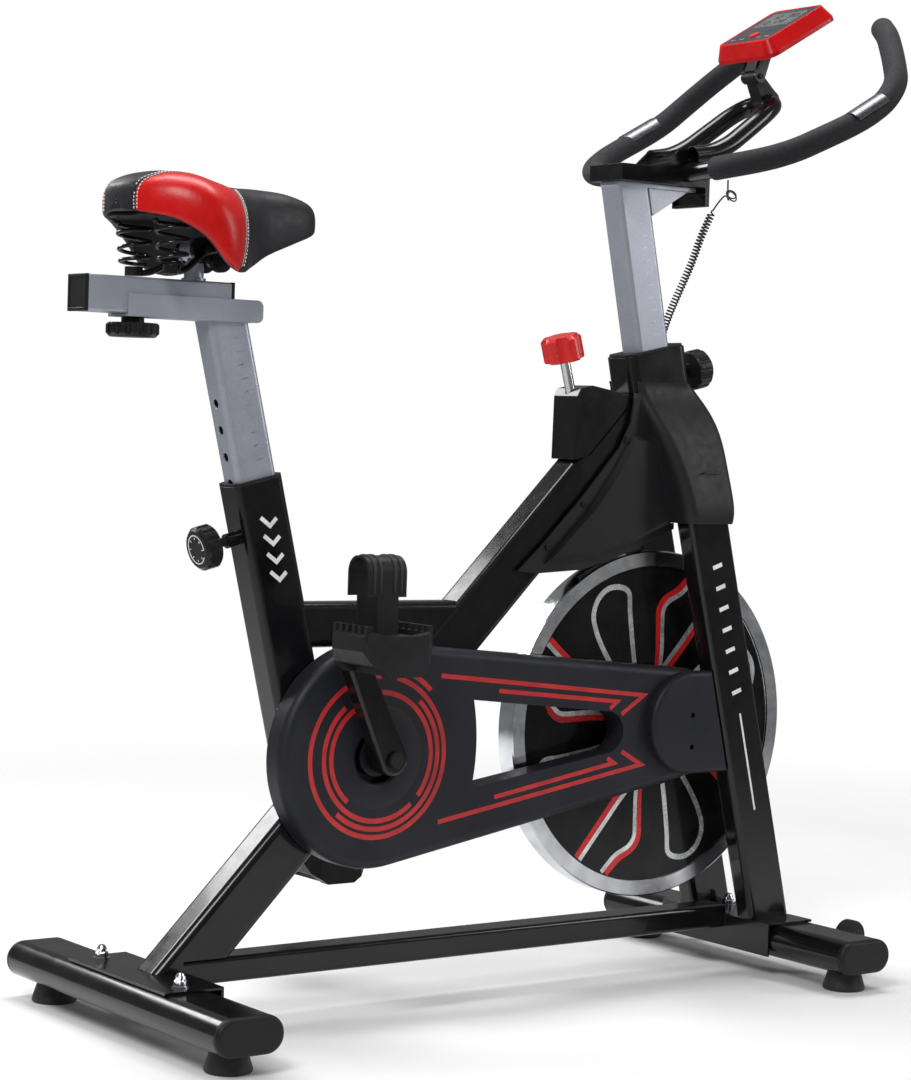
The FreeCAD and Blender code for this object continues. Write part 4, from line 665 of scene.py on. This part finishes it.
def make_saddle():
    """Padded saddle cover with red side panels, open underneath for the springs."""
    stations = smooth_table(STATIONS, 190)
    stations[:, 1] = np.maximum(stations[:, 1], 0.4)
    profile = smooth_table(PROFILE, 64)
    outer = 2 * len(profile) - 1
    loops = [saddle_loop(station, profile) for station in stations]
    width = len(loops[0])
    verts = [at(*p) for loop in loops for p in loop]
    faces, index = [], []
    for i in range(len(loops) - 1):
        for k in range(width):
            m = (k + 1) % width
            faces.append((i * width + k, i * width + m, (i + 1) * width + m, (i + 1) * width + k))
            middle = (loops[i][k] + loops[i][m] + loops[i + 1][k] + loops[i + 1][m]) / 4
            low, high = stations[i][2], stations[i][3]
            lift = min(1.0, max(0.0, (middle.z - low) / (high - low)))
            red = k < outer - 1 and panel_distance(middle.x, middle.y, lift) > 0
            index.append(1 if red else 0)
    for i in (0, len(loops) - 1):
        faces.append(tuple(i * width + k for k in range(width)))
        index.append(0)
    piece = mesh_piece("SaddleCover", verts, faces, [MAT["saddle_black"], MAT["saddle_red"]],
                       "saddle_top", True)
    piece.data.polygons.foreach_set("material_index", index)
    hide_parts("saddle_cushion")
    make_stitches(stations, profile)


def skin_point(stations, profile, x, y=None, lift=None, side=-1):
    """Point on the saddle's outer skin at x, found by |y| on top or by height share."""
    half, low, high = (np.interp(x, stations[:, 0], stations[:, k]) for k in (1, 2, 3))
    if lift is None:
        widest = int(np.argmax(profile[:, 0]))
        lift = np.interp(min(1.0, y / half), profile[:widest + 1, 0], profile[:widest + 1, 1])
    else:
        y = half * np.interp(lift, profile[::-1, 1], profile[::-1, 0])
    return Vector((x, side * min(y, half), low + (high - low) * lift))


def dashes(build, line, stitch, gap, radius):
    """Row of short threads along a line of points in mm."""
    points = resample([at(*p) for p in line], 0.0008)
    step = int(round((stitch + gap) / 0.8))
    size = max(2, int(round(stitch / 0.8)))
    for i in range(0, len(points) - size, step):
        build.tube(points[i:i + size + 1], radius, 6)


def rear_seam(stations, profile, lift):
    """X where the red panel starts at a share of the side's height."""
    xs = np.linspace(-51.0, -10.0, 300)
    half = np.interp(xs, stations[:, 0], stations[:, 1])
    share = np.interp(lift, profile[::-1, 1], profile[::-1, 0])
    return xs[int(np.argmax(half * share > np.interp(xs, SEAM_X, SEAM_Y)))]


def make_stitches(stations, profile):
    """Thread rows beside the seams: down the rear, along the top and round the front."""
    build = Build()
    for side in (-1, 1):
        for shift in (-0.5, 0.8):
            line = []
            for lift in np.linspace(0.6, 0.05, 40):
                line.append(skin_point(stations, profile, rear_seam(stations, profile, lift)
                                       + shift, lift=lift, side=side))
            dashes(build, line, 2.6, 1.6, 0.00055)
        for shift in (-2.4, 2.4):
            line = []
            for x in np.linspace(-46.0, 57.0, 90):
                y = np.interp(x, SEAM_X, SEAM_Y) + shift
                line.append(skin_point(stations, profile, x, y=y, side=side))
            dashes(build, line, 2.6, 1.6, 0.00055)
        for shift in (1.6, 3.6):
            line = []
            for lift in np.linspace(0.93, 0.06, 60):
                x = seam_front(lift) + shift
                line.append(skin_point(stations, profile, x, lift=lift, side=side))
            if shift > 2:
                dashes(build, line, 2.4, 1.6, 0.0005)
            else:
                zigzag = [p + Vector((0.6 * (-1) ** k - 1.0, 0, 0))
                          for k, p in enumerate(resample(line, 1.8))]
                build.tube([at(*p) for p in zigzag], 0.0003, 6)
    build.piece("SaddleStitching", "stitching", "saddle_top", True)


make_saddle()


# ------------------------------------------------------------------- springs
# base radius, top radius and height in mm, turns, wire radius in metres
SADDLE_COIL = (14.0, 19.4, 43.0, 3.5, 0.0022)
BRAKE_COIL = (8.2, 8.2, 26.5, 5.0, 0.0011)
SADDLE_SPRING_X, SADDLE_SPRING_Y, SADDLE_SPRING_Z = -6.0, 40.0, 815.0
# foot of the brake spring, measured up the brake tube from its top
BRAKE_SPRING_LOW = -104.0


def spring_line(base, low_radius, high_radius, height, turns, lean=0.0):
    """Points along a coil on a base point, leaning back by an angle in degrees."""
    points = []
    steps = int(turns * 24)
    tilt = math.radians(lean)
    for i in range(steps + 1):
        share = i / steps
        # the end coils lie almost flat, as ground springs do
        z = height * (share - 0.06 * math.sin(2 * math.pi * share))
        a = 2 * math.pi * turns * share
        r = low_radius + (high_radius - low_radius) * share
        x, y = r * math.cos(a), r * math.sin(a)
        points.append(at(base[0] + x * math.cos(tilt) - z * math.sin(tilt), base[1] + y,
                         base[2] + x * math.sin(tilt) + z * math.cos(tilt)))
    return points


def make_springs():
    """Two coils under the back of the saddle and the return spring of the brake."""
    for name, side in SIDES:
        base = (SADDLE_SPRING_X, side * SADDLE_SPRING_Y, SADDLE_SPRING_Z)
        build = Build()
        build.tube(spring_line(base, *SADDLE_COIL[:4]), SADDLE_COIL[4], 10)
        piece = build.piece("SaddleSpring_" + name, "spring_black", "saddle_rails", True)
        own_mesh(piece)
        if side < 0:
            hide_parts("saddle_springs")
    x, z = along(BRAKE_TOP, BRAKE_ANGLE, BRAKE_SPRING_LOW)
    build = Build()
    build.tube(spring_line((x, 0, z), *BRAKE_COIL[:4], BRAKE_ANGLE), BRAKE_COIL[4], 8)
    piece = build.piece("BrakeSpring", "steel", "frame", True)
    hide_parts("brake_spring")
    at(x, 0, z)
    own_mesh(piece)


make_springs()


# ------------------------------------------------------------------ graphics
def on_side(y):
    """Places a drawing in X and Z on the plane at that Y."""
    return lambda x, z: at(x, y, z)


def make_cover_graphics():
    """Red rings round the crank and the rays that run forward from them on the cover."""
    red = Build()
    face, depth = on_side(-54.9), Vector((0, -0.00035, 0))
    for radius, start, end in ((89, 75, -271), (80, 48, -131), (71, 88, -40),
                               (71, -50, -231), (61.5, -129, -249), (99, 46, 69)):
        red.stroke(arc(BB, radius, start, end, 70), 5.6, face, depth)
    for line, width in ((((344.5, 376.8), (640.0, 345.0), (606.7, 323.7)), 5.2),
                        (((425.8, 357.2), (600.0, 339.0), (589.0, 331.0)), 5.0),
                        (((345.8, 212.8), (639.0, 263.1), (608.7, 279.9)), 5.2),
                        (((423.9, 236.4), (597.5, 266.9), (587.5, 273.0)), 5.0)):
        red.stroke(line, width, face, depth)
    red.piece("CoverGraphics", "decal_red", "frame")


def make_flywheel_graphics():
    """Four silver drops and four pairs of red spokes on each face of the flywheel."""
    silver, red = Build(), Build()

    def polar(points, turn):
        """Line in X and Z through rows of radius and angle, smoothed if it has a bend."""
        line = [(r * math.cos(math.radians(a + turn)), r * math.sin(math.radians(a + turn)))
                for r, a in points]
        curve = smooth_table(line, 48) if len(points) > 3 else line
        return [(HUB[0] + x, HUB[1] + z) for x, z in curve]

    tear = [(78, -8), (100, -10), (140, -12.5), (163, -13.5), (172, -10), (177, -4), (173, 2),
            (160, 7.5), (140, 10.5), (112, 12.5), (86, 13.5)]
    bent = [(56, 9), (90, 12), (118, 14), (138, 14.5), (150, 12), (166, 5), (187, 0.5)]
    straight = [(56, 3), (100, -9.5), (187, -15)]
    bent_in = [(66, 6), (92, 8.5), (118, 11), (137, 11.8), (148, 9.5), (163, 2.8), (187, -1.6)]
    straight_in = [(66, 4.5), (103, -6.2), (187, -13.2)]
    for y, depth in ((-10.9, -0.00045), (10.9, 0.00045)):
        face, out = on_side(y), Vector((0, depth, 0))
        for k in range(4):
            turn = 90 * k
            silver.stroke(polar(tear, -63 + turn), 6.6, face, out)
            for line in (bent_in, straight_in):
                silver.stroke(polar(line, -109 + turn), 5.6, face, out)
            for line in (bent, straight):
                red.stroke(polar(line, -109 + turn), 8.0, face, out * 0.8)
    silver.piece("FlywheelLines_silver", "decal_silver", "flywheel_set", slot="decal_white")
    red.piece("FlywheelLines_red", "knob_red", "flywheel_set", slot="decal_red")


def make_frame_graphics():
    """Plain white bars in place of any lettering: fork leg and seat tube."""
    white = Build()
    out = Vector((0, -0.0003, 0))
    face, (x, z) = on_side(-68.0), LEG_POINT
    white.stroke([along(LEG_POINT, LEG_ANGLE, d) for d in (140, 262)], 2.6, face, out)
    for k in range(7):
        d = 285 + k * 26
        white.stroke([along((x - 8, z + 2), LEG_ANGLE, d),
                      along((x + 8, z - 2), LEG_ANGLE, d + 9)], 5.0, face, out)
    face, (x, z) = on_side(-22.0), SEAT_POINT
    for k in range(4):
        d = -30 - k * 20
        white.stroke([along((x - 9, z), SEAT_ANGLE, d), along((x + 1, z), SEAT_ANGLE, d - 9),
                      along((x + 11, z), SEAT_ANGLE, d)], 4.5, face, out)
    white.piece("FrameMarks", "decal_white", "frame")


def make_post_ticks():
    """Height scale on each sliding post."""
    face, out = on_side(-17.0), Vector((0, -0.0002, 0))
    for name, body, (x, z), angle, first in (
            ("SeatPostScale", "seat_column", SEAT_POINT, SEAT_ANGLE, 34.0),
            ("BarPostScale", "bar_column", HEAD_POINT, HEAD_ANGLE, 20.0)):
        build = Build()
        for k in range(10):
            d = first + 14.7 * k
            end = x + 11.0 if k % 2 == 0 else x + 7.0
            build.stroke([along((x + 2.0, z), angle, d), along((end, z + 2.0), angle, d)], 1.1,
                         face, out)
        build.piece(name, "steel", body)


def console_place(b):
    """Places a drawing on the console: a up the face, y across it, b above its middle plane."""
    t = math.radians(CONSOLE_ANGLE)
    x, z = CONSOLE_CENTRE

    def place(a, y):
        return at(x + a * math.cos(t) - b * math.sin(t), y, z + a * math.sin(t) + b * math.cos(t))
    return place


# lit segments of each digit, and the ends of each segment as shares of height and width
SEGMENTS = {"0": "abcdef", "1": "bc", "2": "abged", "3": "abgcd", "5": "afgcd", "8": "abcdefg"}
SEGMENT_LINES = {"a": ((1, 0), (1, 1)), "b": ((1, 1), (0.5, 1)), "c": ((0.5, 1), (0, 1)),
                 "d": ((0, 0), (0, 1)), "e": ((0.5, 0), (0, 0)), "f": ((1, 0), (0.5, 0)),
                 "g": ((0.5, 0), (0.5, 1))}


def make_console_face():
    """Printed window with its digits, border and key marks on the console's face."""
    t = math.radians(CONSOLE_ANGLE)
    up = Vector((-math.sin(t), 0, math.cos(t)))
    lcd, ink, line = Build(), Build(), Build()
    place = console_place(10.7)
    lcd.slab([place(2, -27), place(36, -27), place(36, 27), place(2, 27)], up * 0.0004)
    for row, text in ((22.0, "12:30"), (7.0, "0 28")):
        y = 20.0
        for character in text:
            if character in SEGMENTS:
                for segment in SEGMENTS[character]:
                    (a0, s0), (a1, s1) = SEGMENT_LINES[segment]
                    ink.stroke([(row + 9 * a0, y - 5.5 * s0), (row + 9 * a1, y - 5.5 * s1)], 1.3,
                               place, up * 0.0006)
            y -= 9.5
    border = [(0, -29), (38, -29), (38, 29), (0, 29)]
    line.stroke(border, 0.9, place, up * 0.0005, closed=True)
    for y in (-30, -15, 15, 30):
        line.stroke([(-38, y - 4), (-38, y + 4)], 1.6, place, up * 0.0004)
    lcd.piece("ConsoleWindow", "lcd", "console", slot="console_face")
    ink.piece("ConsoleDigits", "lcd_ink", "console", slot="console_face")
    line.piece("ConsoleLines", "decal_silver", "console", slot="decal_white")


make_cover_graphics()
make_flywheel_graphics()
make_frame_graphics()
make_post_ticks()
make_console_face()


# -------------------------------------------------------------------- detail
def make_cover_dish():
    """Shallow dished ring round the crank hole in the cover."""
    profile = [(31.0, -55.0), (31.0, -56.4), (34.0, -57.0), (46.0, -56.2), (56.0, -55.4),
               (58.0, -54.9)]
    steps, n = 72, len(profile)
    verts, faces = [], []
    for k in range(steps):
        a = 2 * math.pi * k / steps
        verts += [at(BB[0] + r * math.cos(a), y, BB[1] + r * math.sin(a)) for r, y in profile]
        m = (k + 1) % steps
        faces += [(k * n + i, k * n + i + 1, m * n + i + 1, m * n + i) for i in range(n - 1)]
    mesh_piece("CoverDish", verts, faces, [MAT["cover_plastic"]], "frame", True)


def make_strap_ribs():
    """Raised ribs moulded in each toe strap."""
    a = math.radians(CRANK_ANGLE)
    for name, side in SIDES:
        px = BB[0] + side * CRANK_LENGTH * math.sin(a)
        pz = BB[1] - side * CRANK_LENGTH * math.cos(a)
        mid, high = 144.0, pz + 91
        build = Build()
        half, r = 20.0, 17.0
        for dx in (-17.0, -9.0, 9.0, 17.0):
            arch = [(-half, pz + 52), (-half, high - r)]
            arch += [(-half + r - r * math.cos(t), high - r + r * math.sin(t))
                     for t in np.linspace(0.2, math.pi / 2, 8)]
            arch += [(half - r + r * math.sin(t), high - r + r * math.cos(t))
                     for t in np.linspace(0, math.pi / 2, 8)]
            arch += [(half, pz + 52)]
            build.tube([at(px - 6 + dx, side * (mid + y), z) for y, z in arch], 0.0014, 8)
        build.piece("StrapRibs_" + name, "rubber", name + "_pedal", True)


def make_knob_face():
    """Plain ring and pointer on the face of the seat post knob."""
    build = Build()
    angle = math.radians(SEAT_ANGLE)
    out = Vector((-math.cos(angle), 0, -math.sin(angle)))
    along_tube = Vector((-math.sin(angle), 0, math.cos(angle)))
    x, z = along(SEAT_POINT, SEAT_ANGLE, -46.5)
    centre = at(x, 0, z) + out * 0.0809

    def place(a, b):
        return centre + Vector((0, -a / 1000, 0)) + along_tube * (b / 1000)
    build.stroke(arc((0, 0), 15.5, 0, 330, 40), 1.2, place, out * 0.0003)
    for a in range(0, 360, 45):
        t = math.radians(a)
        build.stroke([(r * math.cos(t), r * math.sin(t)) for r in (11, 13.2)], 1.2, place,
                     out * 0.0003)
    build.piece("KnobRing", "decal_white", "seat_pin")


def make_shroud_patches():
    """Flush patch over the corner where each fork leg comes through the shroud's wall."""
    corners = [(700.0, 68.5, 604.2), (734.6, 68.5, 604.2), (738.4, 67.0, 611.0),
               (738.4, 66.3, 617.2), (730.0, 66.9, 616.0)]
    for name, side in SIDES:
        build = Build()
        build.slab([at(x, side * y, z) for x, y, z in corners], Vector((0, -side * 0.0022, 0)))
        build.piece("ShroudPatch_" + name, "shell_plastic", "frame")


def make_slider_ends():
    """Black plug with a raised rim over each end of the seat slider's tube."""
    low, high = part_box("seat_slider")
    middle, half = low[2] + 0.019, 19.2
    square = [(-half, -half), (half, -half), (half, half), (-half, half)]
    rim = [(a * 0.9, b * 0.9) for a, b in square]
    build = Build()
    for end, out in ((low[0], -1), (high[0], 1)):
        def place(a, b):
            return Vector((end + out * 0.0003, a / 1000, middle + b / 1000))
        build.slab([place(a, b) for a, b in square], Vector((-out * 0.0034, 0, 0)))
        build.stroke(rim, 3.0, place, Vector((out * 0.0006, 0, 0)), closed=True)
    build.piece("SliderEnds", "cap_plastic", "seat_carriage")


make_cover_dish()
make_strap_ribs()
make_slider_ends()
make_shroud_patches()
make_knob_face()


# --------------------------------------------------------------------- stage
def make_floor():
    """Pale paper disc that fades out into the white studio."""
    s = Shade("FloorPaper", roughness=0.6)
    s.colour(s.noise(2.0, 3), (0.86, 0.86, 0.86), (0.90, 0.90, 0.90))
    s.bump(s.noise(90, 3), 0.0003, 0.1)
    spread = s.node("ShaderNodeVectorMath", operation="LENGTH")
    s.link(s.space, spread.inputs[0])
    fade = s.node("ShaderNodeMapRange", interpolation_type="SMOOTHSTEP")
    for key, value in (("From Min", 0.7), ("From Max", 2.6), ("To Min", 0.0), ("To Max", 1.0)):
        fade.inputs[key].default_value = value
    s.link(spread.outputs["Value"], fade.inputs["Value"])
    clear = s.node("ShaderNodeBsdfTransparent")
    mix = s.node("ShaderNodeMixShader")
    s.link(fade.outputs["Result"], mix.inputs["Fac"])
    s.link(s.shader.outputs["BSDF"], mix.inputs[1])
    s.link(clear.outputs["BSDF"], mix.inputs[2])
    s.link(mix.outputs["Shader"], s.tree.nodes["Material Output"].inputs["Surface"])
    ring = [(3.0 * math.cos(2 * math.pi * k / 64), 3.0 * math.sin(2 * math.pi * k / 64), 0)
            for k in range(64)]
    mesh_piece("Floor", ring, [tuple(range(64))], [s.material], None)


def area_light(name, place, target, size, power):
    """Soft box at a place, turned to its target."""
    data = bpy.data.lights.new(name, "AREA")
    data.shape = "RECTANGLE"
    data.size, data.size_y = size
    data.energy = power
    light = bpy.data.objects.new(name, data)
    ahead = (Vector(target) - Vector(place)).normalized()
    light.matrix_world = (Matrix.Translation(Vector(place))
                          @ ahead.to_track_quat("-Z", "Y").to_matrix().to_4x4())
    bpy.context.scene.collection.objects.link(light)


def make_lights():
    """White backdrop, a dim room for reflections and three soft boxes."""
    world = bpy.data.worlds.new("Studio")
    bpy.context.scene.world = world
    world.use_nodes = True
    tree = world.node_tree
    room = tree.nodes["Background"]
    room.inputs["Color"].default_value = (1.0, 1.0, 1.0, 1.0)
    room.inputs["Strength"].default_value = 0.2
    paper = tree.nodes.new("ShaderNodeBackground")
    paper.inputs["Color"].default_value = (1.0, 1.0, 1.0, 1.0)
    paper.inputs["Strength"].default_value = 1.0
    path = tree.nodes.new("ShaderNodeLightPath")
    mix = tree.nodes.new("ShaderNodeMixShader")
    tree.links.new(path.outputs["Is Camera Ray"], mix.inputs["Fac"])
    tree.links.new(room.outputs["Background"], mix.inputs[1])
    tree.links.new(paper.outputs["Background"], mix.inputs[2])
    tree.links.new(mix.outputs["Shader"], tree.nodes["World Output"].inputs["Surface"])
    area_light("KeyLight", (-2.2, -1.6, 2.6), (0, 0, 0.5), (1.2, 1.2), 66)
    area_light("FillLight", (2.6, -2.0, 1.8), (0, 0, 0.6), (0.7, 1.8), 30)
    area_light("TopLight", (0.2, 0.4, 3.0), (0, 0, 0.4), (2.4, 0.8), 66)
    area_light("BackLight", (-1.0, 2.6, 2.2), (0, 0, 0.5), (1.6, 0.8), 45)
    bpy.context.scene.view_settings.view_transform = "Standard"


make_floor()
make_lights()
